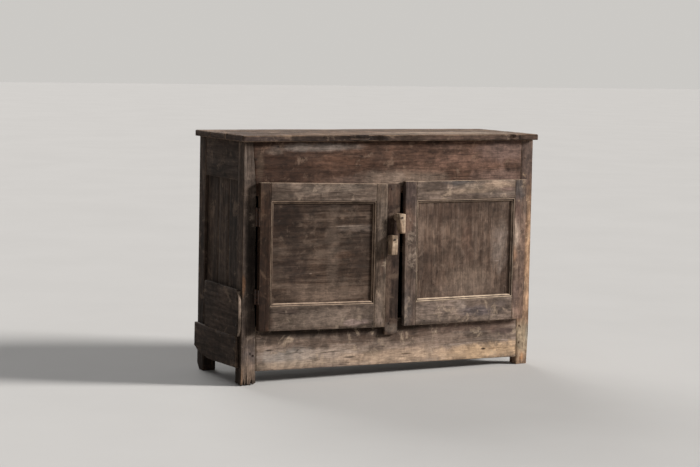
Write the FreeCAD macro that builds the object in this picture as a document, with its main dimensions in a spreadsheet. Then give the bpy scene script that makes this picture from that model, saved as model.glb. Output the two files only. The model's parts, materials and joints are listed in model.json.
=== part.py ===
import FreeCAD, Part
import os
import re
import Sketcher

# An old two-door cupboard on four posts, in millimetres. X runs along the front to the right,
# Y from the front to the back, and Z is up. The origin is on the floor, under the middle of
# the whole object. Both doors are shut, and both turn buttons hang down, clear of the doors.

# The driving sizes. Each one is a cell of the sheet, with its own alias.
SIZES = {
    # The case: outside the four posts, and from the floor to the underside of the top
    "case_width": 1178,
    "case_depth": 368,
    "case_height": 837,
    # The top: loose planks along the case, held together by two cleats underneath
    "top_thickness": 22,
    "top_left_overhang": 14.7,
    "top_right_overhang": 6.8,
    "top_front_overhang": 25,
    "top_back_overhang": 8,
    "front_plank_width": 146,
    "middle_plank_width": 122,
    "plank_gap": 0.8,
    "top_arris": 2.5,
    "bite_place": 450,
    "bite_length": 78,
    "bite_depth": 5,
    "bite_low": 9,
    "chip_place": 132,
    "chip_width": 34,
    "chip_depth": 9,
    "cleat_inset": 180,
    "cleat_width": 45,
    "cleat_thickness": 20,
    # The front posts, hewn wider towards the foot. Widths run along the front
    "front_post_depth": 46,
    "left_post_top_width": 34.5,
    "left_post_width": 50,
    "left_post_waist_width": 54,
    "left_post_foot_width": 58,
    "left_post_waist_rise": 57,
    "right_post_width": 49.5,
    "right_post_foot_width": 44,
    "right_post_swell": 6.5,
    "right_post_swell_height": 120,
    "right_post_foot_swell": 2.5,
    "post_arris": 2,
    # The splits that run up from the end of the front left foot
    "split_width": 5,
    "split_depth": 18,
    "outer_split_place": 12,
    "outer_split_height": 24,
    "middle_split_place": 23,
    "middle_split_height": 34,
    "inner_split_place": 42,
    "inner_split_height": 18,
    # The back posts. The foot of the left one has rotted at the back
    "back_post_width": 48.5,
    "back_post_depth": 54,
    "rot_height": 24,
    "rot_depth": 18,
    # The frieze above the doors and the apron under them, tenoned into the front posts
    "frieze_height": 185,
    "apron_top": 203,
    "apron_left_rise": 47.5,
    "apron_right_rise": 28.5,
    "front_rail_thickness": 24,
    "front_rail_setback": 1.2,
    "front_tenon_cheek": 8,
    "front_tenon_thickness": 9,
    "front_tenon_margin": 20,
    "tenon_shoulder": 15,
    # The pegs through the posts and the front tenons
    "peg_half": 3.5,
    "peg_length": 30,
    "left_frieze_peg_inset": 46,
    "left_frieze_peg_drop": 59,
    "left_apron_peg_inset": 45,
    "left_apron_peg_height": 103,
    "right_peg_inset": 35,
    "right_frieze_peg_drop": 67,
    "right_upper_peg_height": 145,
    "right_lower_peg_height": 82,
    # The centre stile, a batten nailed over the frieze and the apron between the doors
    "strip_gap": 4,
    "strip_width": 53,
    "strip_thickness": 15.2,
    "strip_low": 147,
    "strip_drop": 153,
    "strip_nail_inset": 19,
    "strip_low_nail_end": 41,
    "strip_high_nail_end": 17,
    "strip_nail_half": 2,
    "strip_nail_length": 34,
    "strip_nail_head_half": 3.5,
    "strip_nail_head_height": 1.2,
    # The sides: upright boards in grooves between two posts and two rails
    "side_rail_thickness": 30,
    "side_rail_setback": 1.5,
    "side_top_rail_height": 135,
    "side_bottom_rail_low": 60,
    "side_tenon_inset": 12,
    "side_tenon_thickness": 9,
    "side_tenon_length": 25,
    "side_board_recess": 11,
    "side_board_thickness": 12,
    "side_front_board_width": 96,
    "side_middle_board_width": 84,
    "groove_depth": 8,
    "board_gap": 0.8,
    # The two boards nailed over the foot of the left side
    "lower_board_thickness": 12,
    "lower_board_top": 332,
    "lower_board_back_gap": 84,
    "lower_board_corner": 12,
    "base_board_thickness": 12.5,
    "base_board_top": 171.2,
    "base_board_front_gap": 14,
    "base_board_front_low": 62,
    "base_board_middle_place": 244,
    "base_board_middle_low": 55,
    "base_board_break_length": 49,
    "base_board_break_low": 66,
    "base_board_break_high": 84,
    # The back: two rails, with upright boards nailed on them flush with the back posts
    "back_rail_thickness": 24,
    "back_top_rail_height": 90,
    "back_bottom_rail_low": 92,
    "back_tenon_cheek": 7.5,
    "back_tenon_thickness": 9,
    "back_tenon_length": 25,
    "back_board_thickness": 12,
    # The floor and the shelf inside, with the bearers that carry them
    "floor_drop": 6,
    "floor_thickness": 18,
    "floor_bearer_width": 25,
    "floor_bearer_height": 30,
    "shelf_top": 445,
    "shelf_thickness": 18,
    "shelf_setback": 60,
    "shelf_bearer_width": 25,
    "shelf_bearer_height": 30,
    "inside_play": 0.5,
    # Both doors: a frame, a flat panel in its grooves, and a moulding round the panel
    "door_thickness": 21,
    "door_back_gap": 2,
    "door_arris": 1.2,
    "door_tenon_thickness": 7,
    "door_tenon_length": 26,
    "door_tenon_shoulder": 14,
    "door_panel_thickness": 9,
    "door_panel_recess": 9,
    "door_groove_depth": 7,
    "moulding_width": 12,
    "moulding_drop": 1,
    "moulding_round": 7,
    # The left door. Its margin runs from the outside of the case to its hinge edge
    "left_door_margin": 54,
    "left_door_width": 498,
    "left_door_drop": 137.5,
    "left_door_foot": 189.5,
    "left_door_sag": 12.5,
    "left_door_lean": 0,
    "left_door_hinge_stile": 40.5,
    "left_door_meeting_stile": 46,
    "left_door_bottom_rail": 84,
    "left_door_top_rail": 61,
    # The right door, whose free edge rises a little and leans
    "right_door_margin": 37,
    "right_strip_gap": 14,
    "right_door_drop": 144.5,
    "right_door_foot": 175.5,
    "right_door_sag": -1.5,
    "right_door_lean": 8,
    "right_door_hinge_stile": 51,
    "right_door_meeting_stile": 46.5,
    "right_door_bottom_rail": 84,
    "right_door_top_rail": 67,
    # The iron butt hinges, whose knuckles stand in front of the posts
    "upper_hinge_drop": 288,
    "upper_hinge_length": 63,
    "lower_hinge_low": 282,
    "lower_hinge_length": 50,
    "barrel_radius": 4.5,
    "hinge_play": 0.3,
    "knuckle_gap": 0.3,
    "leaf_thickness": 2,
    "leaf_margin": 1.5,
    "left_frame_leaf_width": 24,
    "right_frame_leaf_width": 16,
    "pin_radius": 2,
    "pin_play": 0.05,
    "pin_head_radius": 3.6,
    "pin_head_height": 2,
    # The turn buttons, each brought clear of the doors by a wooden washer on the centre stile
    "washer_play": 0.3,
    "lap_play": 1.2,
    "washer_radius": 13.5,
    "button_arris": 2.5,
    "button_nail_radius": 2.2,
    "button_nail_play": 0.08,
    "button_nail_head_radius": 3.6,
    "button_nail_head_gap": 0.2,
    "button_nail_head_height": 2,
    "left_button_place": 12.5,
    "left_button_drop": 345.7,
    "left_button_upper_end": 15.2,
    "left_button_reach": 55,
    "left_button_upper_half": 14,
    "left_button_lower_half": 14,
    "left_button_tip_half": 12.8,
    "left_button_lap": 26,
    "right_button_place": 14,
    "right_button_drop": 268.8,
    "right_button_upper_end": 13.6,
    "right_button_reach": 56.6,
    "right_button_upper_half": 15.3,
    "right_button_lower_half": 14.7,
    "right_button_tip_half": 1.4,
    "right_button_lap": 28.5,
}

# Places worked out from the driving sizes, as further cells of the same sheet.
PLACES = {
    "lap_stand": "door_back_gap + door_thickness + lap_play",
    "front_reach": "lap_stand + right_button_lap + button_nail_head_gap + button_nail_head_height",
    "total_depth": "front_reach + case_depth + top_back_overhang",
    "top_length": "case_width + top_left_overhang + top_right_overhang",
    "top_left": "-top_length / 2",
    "top_right": "top_length / 2",
    "left_outer": "top_left + top_left_overhang",
    "right_outer": "left_outer + case_width",
    "front_face": "front_reach - total_depth / 2",
    "back_face": "front_face + case_depth",
    "top_front": "front_face - top_front_overhang",
    "top_back": "back_face + top_back_overhang",
    "top_level": "case_height + top_thickness",
    "bite_radius": "(bite_length * bite_length / 4 + bite_depth * bite_depth) / (2 * bite_depth)",
    "front_post_back": "front_face + front_post_depth",
    "back_post_front": "back_face - back_post_depth",
    "left_post_waist_top": "apron_top + left_post_waist_rise",
    "apron_left_foot_width": "left_post_waist_width + (left_post_foot_width - left_post_waist_width)"
                             " * (apron_top - apron_left_rise) / apron_top",
    "apron_right_foot_width": "right_post_width + (right_post_foot_width - right_post_width)"
                              " * (apron_top - apron_right_rise) / apron_top",
    "front_rail_face": "front_face + front_rail_setback",
    "front_rail_back": "front_rail_face + front_rail_thickness",
    "front_tenon_face": "front_rail_face + front_tenon_cheek",
    "front_tenon_back": "front_tenon_face + front_tenon_thickness",
    "front_tenon_root": "left_post_foot_width + tenon_shoulder",
    "frieze_low": "case_height - frieze_height",
    "left_frieze_peg_height": "case_height - left_frieze_peg_drop",
    "right_frieze_peg_height": "case_height - right_frieze_peg_drop",
    "side_top_rail_low": "case_height - side_top_rail_height",
    "floor_top": "apron_top - floor_drop",
    "floor_low": "floor_top - floor_thickness",
    "side_board_inside": "side_board_recess + side_board_thickness",
    "side_rail_inside": "side_rail_setback + side_rail_thickness",
    "side_tenon_inside": "side_tenon_inset + side_tenon_thickness",
    "side_board_low": "floor_low - groove_depth",
    "side_board_top": "side_top_rail_low + groove_depth",
    "side_groove_front": "front_post_back - groove_depth",
    "side_groove_back": "back_post_front + groove_depth",
    "back_board_face": "back_face - back_board_thickness",
    "back_rail_face": "back_board_face - back_rail_thickness",
    "back_tenon_back": "back_board_face - back_tenon_cheek",
    "back_tenon_face": "back_tenon_back - back_tenon_thickness",
    "back_top_rail_low": "case_height - back_top_rail_height",
    "inside_left": "left_outer + side_board_inside + inside_play",
    "inside_right": "right_outer - side_board_inside - inside_play",
    "inside_front": "front_rail_back + inside_play",
    "inside_back": "back_board_face - inside_play",
    "shelf_low": "shelf_top - shelf_thickness",
    "shelf_front": "front_face + shelf_setback",
    "door_back": "front_face - door_back_gap",
    "door_front": "door_back - door_thickness",
    "panel_front": "door_front + door_panel_recess",
    "panel_back": "panel_front + door_panel_thickness",
    "door_tenon_front": "panel_front + (door_panel_thickness - door_tenon_thickness) / 2",
    "door_tenon_back": "door_tenon_front + door_tenon_thickness",
    "left_door_edge": "left_outer + left_door_margin",
    "right_door_edge": "right_outer - right_door_margin",
    "strip_left": "left_door_edge + left_door_width + strip_gap",
    "strip_right": "strip_left + strip_width",
    "strip_top": "case_height - strip_drop",
    "strip_low_nail": "strip_low + strip_low_nail_end",
    "strip_high_nail": "strip_top - strip_high_nail_end",
    "left_door_height": "case_height - left_door_drop - left_door_foot",
    "right_door_height": "case_height - right_door_drop - right_door_foot",
    "right_door_width": "right_door_edge - strip_right - right_strip_gap",
    "upper_hinge_low": "case_height - upper_hinge_drop",
    "strip_front": "front_rail_face - strip_thickness",
    "barrel_stand": "barrel_radius + hinge_play",
    "hinge_axis_y": "front_face - barrel_stand",
    "left_hinge_axis": "left_door_edge - barrel_stand",
    "right_hinge_axis": "right_door_edge + barrel_stand",
    "left_button_x": "strip_left + left_button_place",
    "left_button_height": "case_height - left_button_drop",
    "right_button_x": "strip_right - right_button_place",
    "right_button_height": "case_height - right_button_drop",
    "lap_back": "front_face - lap_stand",
    "washer_front": "lap_back + washer_play",
}

# Which way a side's inward direction points along X.
LEFT = 1
RIGHT = -1
SIDES = (("left", LEFT), ("right", RIGHT))

# Ranges in height: both side rails, and both hinges of a door.
SIDE_RAILS = (("side_top_rail_low", "case_height"), ("side_bottom_rail_low", "floor_low"))
HINGES = (("upper_hinge_low", "upper_hinge_length"), ("lower_hinge_low", "lower_hinge_length"))
FOOT_SPLITS = [("outer_split_place", "outer_split_height"), ("middle_split_place", "middle_split_height"),
               ("inner_split_place", "inner_split_height")]
KNUCKLES = 5

# Where each sketch plane is found among a body's origin features.
ORIGIN_PLANES = {"front": "XZ_Plane", "side": "YZ_Plane", "plan": "XY_Plane"}

# How near two coordinates of a built edge are when they count as equal.
SAME = 1e-4

doc = FreeCAD.newDocument("Cupboard")
sheet = doc.addObject("Spreadsheet::Sheet", "Sizes")
for row, (alias, number) in enumerate(SIZES.items(), 1):
    sheet.set("A%d" % row, str(number))
    sheet.setAlias("A%d" % row, alias)
for row, (alias, formula) in enumerate(PLACES.items(), 1):
    sheet.set("B%d" % row, "=" + formula)
    sheet.setAlias("B%d" % row, alias)
doc.recompute()

nodes = []


def bound(text):
    """Write a sum of aliases as an expression that reads the sheet."""
    return re.sub(r"[a-z][a-z_0-9]*", lambda word: "Sizes." + word.group(0), text)


def size(alias):
    """Read one cell of the sheet as a number."""
    return float(sheet.get(alias))


def value(text):
    """Work out a sum of aliases."""
    return float(sheet.evalExpression(bound(text)))


def oblong(x_low, x_high, y_low, y_high):
    """The corners of a rectangle in a sketch."""
    return [(x_low, y_low), (x_high, y_low), (x_high, y_high), (x_low, y_high)]


def square(centre, half):
    """The corners of a square round its middle."""
    (x, z), edges = centre, ("%s - %s", "%s + %s")
    return oblong(*[edge % (middle, half) for middle in (x, z) for edge in edges])


class Piece:
    """One separate piece: a body whose sketches and lengths are bound to the sheet."""

    def __init__(self, node, alone=True):
        self.body = doc.addObject("PartDesign::Body", node)
        if alone:
            nodes.append(self.body)

    def sketch(self, view, level):
        """An empty sketch on one of the body's own planes, at a level square to it."""
        plane = [item for item in self.body.Origin.OriginFeatures if item.Role == ORIGIN_PLANES[view]][0]
        drawing = self.body.newObject("Sketcher::SketchObject", self.body.Name + "_sketch")
        drawing.AttachmentSupport = [(plane, "")]
        drawing.MapMode = "FlatFace"
        sign = "-" if view == "front" else ""
        drawing.setExpression(".AttachmentOffset.Base.z", bound("%s(%s)" % (sign, level)))
        return drawing

    def outline(self, view, level, corners):
        """A closed outline with straight sides, each corner a pair of sums of aliases."""
        drawing = self.sketch(view, level)
        count = len(corners)
        turn = FreeCAD.Rotation(FreeCAD.Vector(0, 0, 1), 360 / count)
        ring = [FreeCAD.Vector(1, 0, 0)]
        for _ in corners:
            ring.append(turn.multVec(ring[-1]))
        for start, end in zip(ring[:-1], ring[1:]):
            drawing.addGeometry(Part.LineSegment(start, end), False)
        for side in range(count):
            drawing.addConstraint(Sketcher.Constraint("Coincident", side, 2, (side + 1) % count, 1))
        for side, corner in enumerate(corners):
            hold(drawing, side, 1, ring[side], corner)
        return drawing

    def rings(self, view, level, centres, radius):
        """Equal circles about centres that are pairs of sums of aliases."""
        drawing = self.sketch(view, level)
        start = FreeCAD.Vector(1, 1, 0)
        for centre in centres:
            ring = drawing.addGeometry(Part.Circle(start, FreeCAD.Vector(0, 0, 1), 1), False)
            wide = drawing.addConstraint(Sketcher.Constraint("Radius", ring, 1))
            drawing.setExpression("Constraints[%d]" % wide, bound(radius))
            hold(drawing, ring, 3, start, centre)
        return drawing

    def extrude(self, kind, drawing, low, high):
        """A pad or a pocket as long as the distance between two levels."""
        step = self.body.newObject(kind, self.body.Name + "_step")
        step.Profile = drawing
        step.setExpression("Length", bound("(%s) - (%s)" % (high, low)))

    def add(self, view, corners, low, high):
        """Add an outline from a low level to a high one."""
        level = high if view == "front" else low
        self.extrude("PartDesign::Pad", self.outline(view, level, corners), low, high)

    def add_rings(self, view, centres, radius, low, high):
        """Add circles from a low level to a high one."""
        level = high if view == "front" else low
        self.extrude("PartDesign::Pad", self.rings(view, level, centres, radius), low, high)

    def cut(self, view, corners, low, high):
        """Cut an outline from a low level to a high one."""
        level = low if view == "front" else high
        self.extrude("PartDesign::Pocket", self.outline(view, level, corners), low, high)

    def cut_rings(self, view, centres, radius, low, high):
        """Cut circles from a low level to a high one."""
        level = low if view == "front" else high
        self.extrude("PartDesign::Pocket", self.rings(view, level, centres, radius), low, high)

    def wear(self, kind, dimension, amount, chosen):
        """Chamfer or fillet the straight edges that a test of their two ends picks."""
        doc.recompute()
        picked = []
        for number, edge in enumerate(self.body.Shape.Edges, 1):
            ends = [corner.Point for corner in edge.Vertexes]
            if len(ends) == 2 and chosen(*ends):
                picked.append("Edge%d" % number)
        base = self.body.Tip
        step = self.body.newObject(kind, self.body.Name + "_worn")
        step.Base = (base, picked)
        step.setExpression(dimension, bound(amount))

    def chamfer(self, amount, chosen):
        """Take the arris off the chosen edges."""
        self.wear("PartDesign::Chamfer", "Size", amount, chosen)

    def fillet(self, amount, chosen):
        """Round the chosen edges."""
        self.wear("PartDesign::Fillet", "Radius", amount, chosen)


def hold(drawing, item, spot, start, corner):
    """Hold a point of a sketch at its two distances from the sketch's origin."""
    for kind, near, text in (("DistanceX", start.x, corner[0]), ("DistanceY", start.y, corner[1])):
        number = drawing.addConstraint(Sketcher.Constraint(kind, -1, 1, item, spot, near))
        drawing.setExpression("Constraints[%d]" % number, bound(text))


def board(node, x_low, x_high, y_low, y_high, z_low, z_high, alone=True):
    """A plain sawn board."""
    piece = Piece(node, alone)
    piece.add("plan", oblong(x_low, x_high, y_low, y_high), z_low, z_high)
    return piece


def group(node, pieces):
    """Several like solids in one node."""
    together = doc.addObject("Part::Compound", node)
    together.Links = [piece.body for piece in pieces]
    nodes.append(together)


def at(axis, level):
    """A test for an edge that lies at one level of an axis."""
    def test(start, end):
        return abs(getattr(start, axis) - level) < SAME and abs(getattr(end, axis) - level) < SAME
    return test


def both(*tests):
    """A test that passes where all the others do."""
    return lambda start, end: all(test(start, end) for test in tests)


def either(*tests):
    """A test that passes where one of the others does."""
    return lambda start, end: any(test(start, end) for test in tests)


def joins(first, second, level):
    """A test for an edge that joins two corners drawn from the front, at a level of Y."""
    ends = [FreeCAD.Vector(value(x), value(level), value(z)) for x, z in (first, second)]
    return lambda start, end: all(min(point.distanceToPoint(start), point.distanceToPoint(end)) < SAME
                                  for point in ends)


def longer(axis, least):
    """A test for an edge that runs at least so far along an axis."""
    return lambda start, end: abs(getattr(start, axis) - getattr(end, axis)) > least


def inward(side_name, side, distance):
    """A place at a distance inward from the outside of the case."""
    return "%s_outer + (%d) * (%s)" % (side_name, side, distance)


def between(rail_low, rail_top):
    """The range in height of a rail's tenons."""
    return rail_low + " + tenon_shoulder", rail_top + " - tenon_shoulder"


FRONT_RAILS = {
    "left": (("frieze_low", "case_height"), ("apron_left_rise", "apron_top")),
    "right": (("frieze_low", "case_height"), ("apron_right_rise", "apron_top")),
}
PEGS = {
    "left": (("left_frieze_peg_inset", "left_frieze_peg_height"),
             ("left_apron_peg_inset", "left_apron_peg_height")),
    "right": (("right_peg_inset", "right_frieze_peg_height"),
              ("right_peg_inset", "right_upper_peg_height"),
              ("right_peg_inset", "right_lower_peg_height")),
}


def peg_centres(side_name, side):
    """Where the pegs go through one front post, seen from the front."""
    return [(inward(side_name, side, inset), height) for inset, height in PEGS[side_name]]


def cut_side_joints(piece, side_name, side, mortise, groove):
    """A post's mortises for the rails of its side, and its groove for the boards."""
    near = inward(side_name, side, "side_tenon_inset")
    far = inward(side_name, side, "side_tenon_inside")
    for rail in SIDE_RAILS:
        piece.cut("front", oblong(near, far, *between(*rail)), *mortise)
    near = inward(side_name, side, "side_board_recess")
    far = inward(side_name, side, "side_board_inside")
    piece.cut("front", oblong(near, far, "side_board_low", "side_board_top"), *groove)


def make_front_posts():
    """The front posts, with mortises, board grooves, peg holes and gains for the hinges."""
    left = Piece("front_left_post")
    left.add("front", [
        ("left_outer", "0"),
        ("left_outer + left_post_foot_width", "0"),
        ("left_outer + left_post_waist_width", "apron_top"),
        ("left_outer + left_post_width", "left_post_waist_top"),
        ("left_outer + left_post_width", "frieze_low"),
        ("left_outer + left_post_top_width", "case_height"),
        ("left_outer", "case_height")], "front_face", "front_post_back")
    right = Piece("front_right_post")
    right.add("front", [
        ("right_outer - right_post_foot_width", "0"),
        ("right_outer + right_post_foot_swell", "0"),
        ("right_outer + right_post_swell", "right_post_swell_height"),
        ("right_outer", "case_height"),
        ("right_outer - right_post_width", "case_height"),
        ("right_outer - right_post_width", "apron_top")], "front_face", "front_post_back")
    for piece, (side_name, side) in zip((left, right), SIDES):
        near = inward(side_name, side, "front_tenon_margin")
        far = inward(side_name, side, "left_post_foot_width")
        for rail in FRONT_RAILS[side_name]:
            piece.cut("front", oblong(near, far, *between(*rail)), "front_tenon_face", "front_tenon_back")
        cut_side_joints(piece, side_name, side, ("front_post_back - side_tenon_length", "front_post_back"),
                        ("side_groove_front", "front_post_back"))
        for centre in peg_centres(side_name, side):
            piece.cut("front", square(centre, "peg_half"), "front_face", "front_face + peg_length")
    for low, length in HINGES:
        left.cut("front", oblong("left_outer + left_post_width - leaf_thickness",
                                 "left_outer + left_post_width", low, "%s + %s" % (low, length)),
                 "front_face", "front_face + left_frame_leaf_width")
        right.cut("front", oblong("right_hinge_axis - right_frame_leaf_width",
                                  "right_hinge_axis + leaf_thickness / 2", low, "%s + %s" % (low, length)),
                  "front_face", "front_face + leaf_thickness")
    for place, high in FOOT_SPLITS:
        middle = "left_outer + " + place
        left.cut("front", [(middle + " - split_width / 2", "0"), (middle + " + split_width / 2", "0"),
                           (middle, high)], "front_face", "front_face + split_depth")
    front = at("y", size("front_face"))
    left.chamfer("post_arris", both(front, at("x", size("left_outer"))))
    outside = size("right_outer") - SAME
    right.chamfer("post_arris", both(front, lambda start, end: min(start.x, end.x) > outside))


def make_back_posts():
    """The back posts, the left one with its rotted foot."""
    for side_name, side in SIDES:
        piece = Piece("back_%s_post" % side_name)
        near = inward(side_name, side, "0")
        far = inward(side_name, side, "back_post_width")
        piece.add("plan", oblong(near, far, "back_post_front", "back_face"), "0", "case_height")
        cut_side_joints(piece, side_name, side, ("back_post_front", "back_post_front + side_tenon_length"),
                        ("back_post_front", "side_groove_back"))
        near = inward(side_name, side, "back_post_width - back_tenon_length")
        for rail in (("back_top_rail_low", "case_height"), ("back_bottom_rail_low", "floor_low")):
            piece.cut("front", oblong(near, far, *between(*rail)), "back_tenon_face", "back_tenon_back")
        if side == LEFT:
            rot = [("back_face - rot_depth", "0"), ("back_face", "0"), ("back_face", "rot_height")]
            piece.cut("side", rot, "left_outer", "left_outer + back_post_width")
        piece.chamfer("post_arris", both(at("y", size("back_face")), longer("z", size("rot_height"))))


def make_pegs():
    """The pegs that lock the frieze and the apron into the front posts."""
    pegs = []
    for side_name, side in SIDES:
        for centre in peg_centres(side_name, side):
            peg = Piece("frame_peg", False)
            peg.add("front", square(centre, "peg_half"), "front_face", "front_face + peg_length")
            pegs.append(peg)
    group("frame_pegs", pegs)


def make_front_rails():
    """The frieze and the apron, with a tenon at each end and holes for pegs and nails."""
    frieze = Piece("frieze")
    frieze.add("front", [
        ("left_outer + left_post_width", "frieze_low"),
        ("right_outer - right_post_width", "frieze_low"),
        ("right_outer - right_post_width", "case_height"),
        ("left_outer + left_post_top_width", "case_height")], "front_rail_face", "front_rail_back")
    apron = Piece("apron")
    apron.add("front", [
        ("left_outer + apron_left_foot_width", "apron_left_rise"),
        ("right_outer - apron_right_foot_width", "apron_right_rise"),
        ("right_outer - right_post_width", "apron_top"),
        ("left_outer + left_post_waist_width", "apron_top")], "front_rail_face", "front_rail_back")
    for number, (piece, nail) in enumerate(((frieze, "strip_high_nail"), (apron, "strip_low_nail"))):
        for side_name, side in SIDES:
            near = inward(side_name, side, "front_tenon_margin")
            far = inward(side_name, side, "front_tenon_root")
            piece.add("front", oblong(near, far, *between(*FRONT_RAILS[side_name][number])),
                      "front_tenon_face", "front_tenon_back")
            for centre in peg_centres(side_name, side):
                piece.cut("front", square(centre, "peg_half"), "front_face", "front_face + peg_length")
        piece.cut("front", square(("strip_left + strip_nail_inset", nail), "strip_nail_half"),
                  "front_rail_face", "strip_front + strip_nail_length")
    apron.chamfer("post_arris", both(at("y", size("front_rail_face")), longer("x", size("case_width") / 2),
                                     lambda start, end: max(start.z, end.z) < size("apron_top") / 2))


def make_centre_stile():
    """The batten between the doors, with its two nails."""
    strip = Piece("centre_stile")
    strip.add("front", oblong("strip_left", "strip_right", "strip_low", "strip_top"),
              "strip_front", "front_rail_face")
    heights = ("strip_low_nail", "strip_high_nail")
    places = [("strip_left + strip_nail_inset", height) for height in heights]
    for place in places:
        strip.cut("front", square(place, "strip_nail_half"), "strip_front", "front_rail_face")
    pivots = [(name + "_button_x", name + "_button_height") for name, _ in SIDES]
    strip.cut_rings("front", pivots, "button_nail_radius", "strip_front", "front_rail_face")
    strip.chamfer("door_arris", both(at("y", size("strip_front")), longer("z", size("strip_width"))))
    nails = []
    for place in places:
        nail = Piece("centre_stile_nail", False)
        nail.add("front", square(place, "strip_nail_half"),
                 "strip_front", "strip_front + strip_nail_length")
        nail.add("front", square(place, "strip_nail_head_half"),
                 "strip_front - strip_nail_head_height", "strip_front")
        nails.append(nail)
    group("centre_stile_nails", nails)


def make_side(side_name, side):
    """One side between its posts: two tenoned rails and three upright boards."""
    names = ("%s_side_top_rail" % side_name, "%s_side_bottom_rail" % side_name)
    outside = inward(side_name, side, "side_rail_setback")
    inside = inward(side_name, side, "side_rail_inside")
    groove = (inward(side_name, side, "side_board_recess"), inward(side_name, side, "side_board_inside"))
    tenon = (inward(side_name, side, "side_tenon_inset"), inward(side_name, side, "side_tenon_inside"))
    for name, rail, slot in zip(names, SIDE_RAILS, (("side_top_rail_low", "side_board_top"),
                                                    ("side_board_low", "floor_low"))):
        piece = board(name, outside, inside, "front_post_back", "back_post_front", *rail)
        piece.add("front", oblong(*tenon, *between(*rail)),
                  "front_post_back - side_tenon_length", "back_post_front + side_tenon_length")
        piece.cut("plan", oblong(*groove, "front_post_back", "back_post_front"), *slot)
    seams = ("side_groove_front + side_front_board_width",
             "side_groove_front + side_front_board_width + board_gap + side_middle_board_width")
    strips = (("front", "side_groove_front", seams[0]),
              ("middle", seams[0] + " + board_gap", seams[1]),
              ("back", seams[1] + " + board_gap", "side_groove_back"))
    for name, low, high in strips:
        board("%s_side_%s_board" % (side_name, name), *groove, low, high, "side_board_low", "side_board_top")


def make_nailed_side_boards():
    """The two boards nailed outside the foot of the left side, the lower one broken at the back."""
    lower = Piece("left_side_lower_board")
    lower.add("side", oblong("front_face", "back_face - lower_board_back_gap",
                             "base_board_top", "lower_board_top"),
              "left_outer - lower_board_thickness", "left_outer")
    lower.fillet("lower_board_corner", both(at("y", size("front_face")), at("z", size("lower_board_top"))))
    base = Piece("left_side_base_board")
    base.add("side", [
        ("front_face + base_board_front_gap", "base_board_front_low"),
        ("front_face + base_board_middle_place", "base_board_middle_low"),
        ("back_face - base_board_break_length", "base_board_break_low"),
        ("back_face", "base_board_break_high"),
        ("back_face", "base_board_top"),
        ("front_face + base_board_front_gap", "base_board_top")],
        "left_outer - base_board_thickness", "left_outer")


def make_back():
    """The back: two rails tenoned between the back posts, and the boards nailed on them."""
    left = inward("left", LEFT, "back_post_width")
    right = inward("right", RIGHT, "back_post_width")
    for name, rail in (("back_top_rail", ("back_top_rail_low", "case_height")),
                       ("back_bottom_rail", ("back_bottom_rail_low", "floor_low"))):
        piece = board(name, left, right, "back_rail_face", "back_board_face", *rail)
        reach = (left + " - back_tenon_length", right + " + back_tenon_length")
        piece.add("front", oblong(*reach, *between(*rail)), "back_tenon_face", "back_tenon_back")
    count = 5
    share = "((%s) - (%s) + board_gap) / %d" % (right, left, count)
    boards = []
    for number in range(count):
        low = "%s + %d * %s" % (left, number, share)
        boards.append(board("back_board", low, "%s + %s - board_gap" % (low, share),
                            "back_board_face", "back_face", "back_bottom_rail_low", "case_height", False))
    group("back_boards", boards)


def notched(node, y_low, y_high, z_low, z_high, corner_width, corner_line, front):
    """A plank inside the case, notched round the posts at its front or at its back."""
    piece = board(node, "inside_left", "inside_right", y_low, y_high, z_low, z_high)
    for side_name, side in SIDES:
        near = inward(side_name, side, "0")
        far = inward(side_name, side, "%s + inside_play" % corner_width)
        if front:
            notch = (y_low, corner_line + " + inside_play")
        else:
            notch = (corner_line + " - inside_play", y_high)
        piece.cut("plan", oblong(near, far, *notch), z_low, z_high)
    return piece


def make_floor():
    """Three floor planks over the bottom rails, with a bearer along each side."""
    step = "(inside_back - inside_front + board_gap) / 3"
    seams = ["inside_front + %d * %s" % (number, step) for number in range(4)]
    level = ("floor_low", "floor_top")
    notched("floor_front_plank", seams[0], seams[1] + " - board_gap", *level,
            "left_post_foot_width", "front_post_back", True)
    board("floor_middle_plank", "inside_left", "inside_right", seams[1], seams[2] + " - board_gap", *level)
    notched("floor_back_plank", seams[2], "inside_back", *level, "back_post_width", "back_post_front", False)
    for side_name, side in SIDES:
        near = inward(side_name, side, "side_rail_inside")
        far = inward(side_name, side, "side_rail_inside + floor_bearer_width")
        board("floor_%s_bearer" % side_name, near, far, "front_post_back", "back_post_front",
              "floor_low - floor_bearer_height", "floor_low")


def make_shelf():
    """The shelf: two planks on a bearer along each side."""
    seam = "(shelf_front + inside_back) / 2"
    level = ("shelf_low", "shelf_top")
    board("shelf_front_plank", "inside_left", "inside_right",
          "shelf_front", seam + " - board_gap / 2", *level)
    notched("shelf_back_plank", seam + " + board_gap / 2", "inside_back", *level,
            "back_post_width", "back_post_front", False)
    for side_name, side in SIDES:
        near = inward(side_name, side, "side_board_inside")
        far = inward(side_name, side, "side_board_inside + shelf_bearer_width")
        board("shelf_%s_bearer" % side_name, near, far, "front_post_back", "back_post_front",
              "shelf_low - shelf_bearer_height", "shelf_low")


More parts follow.
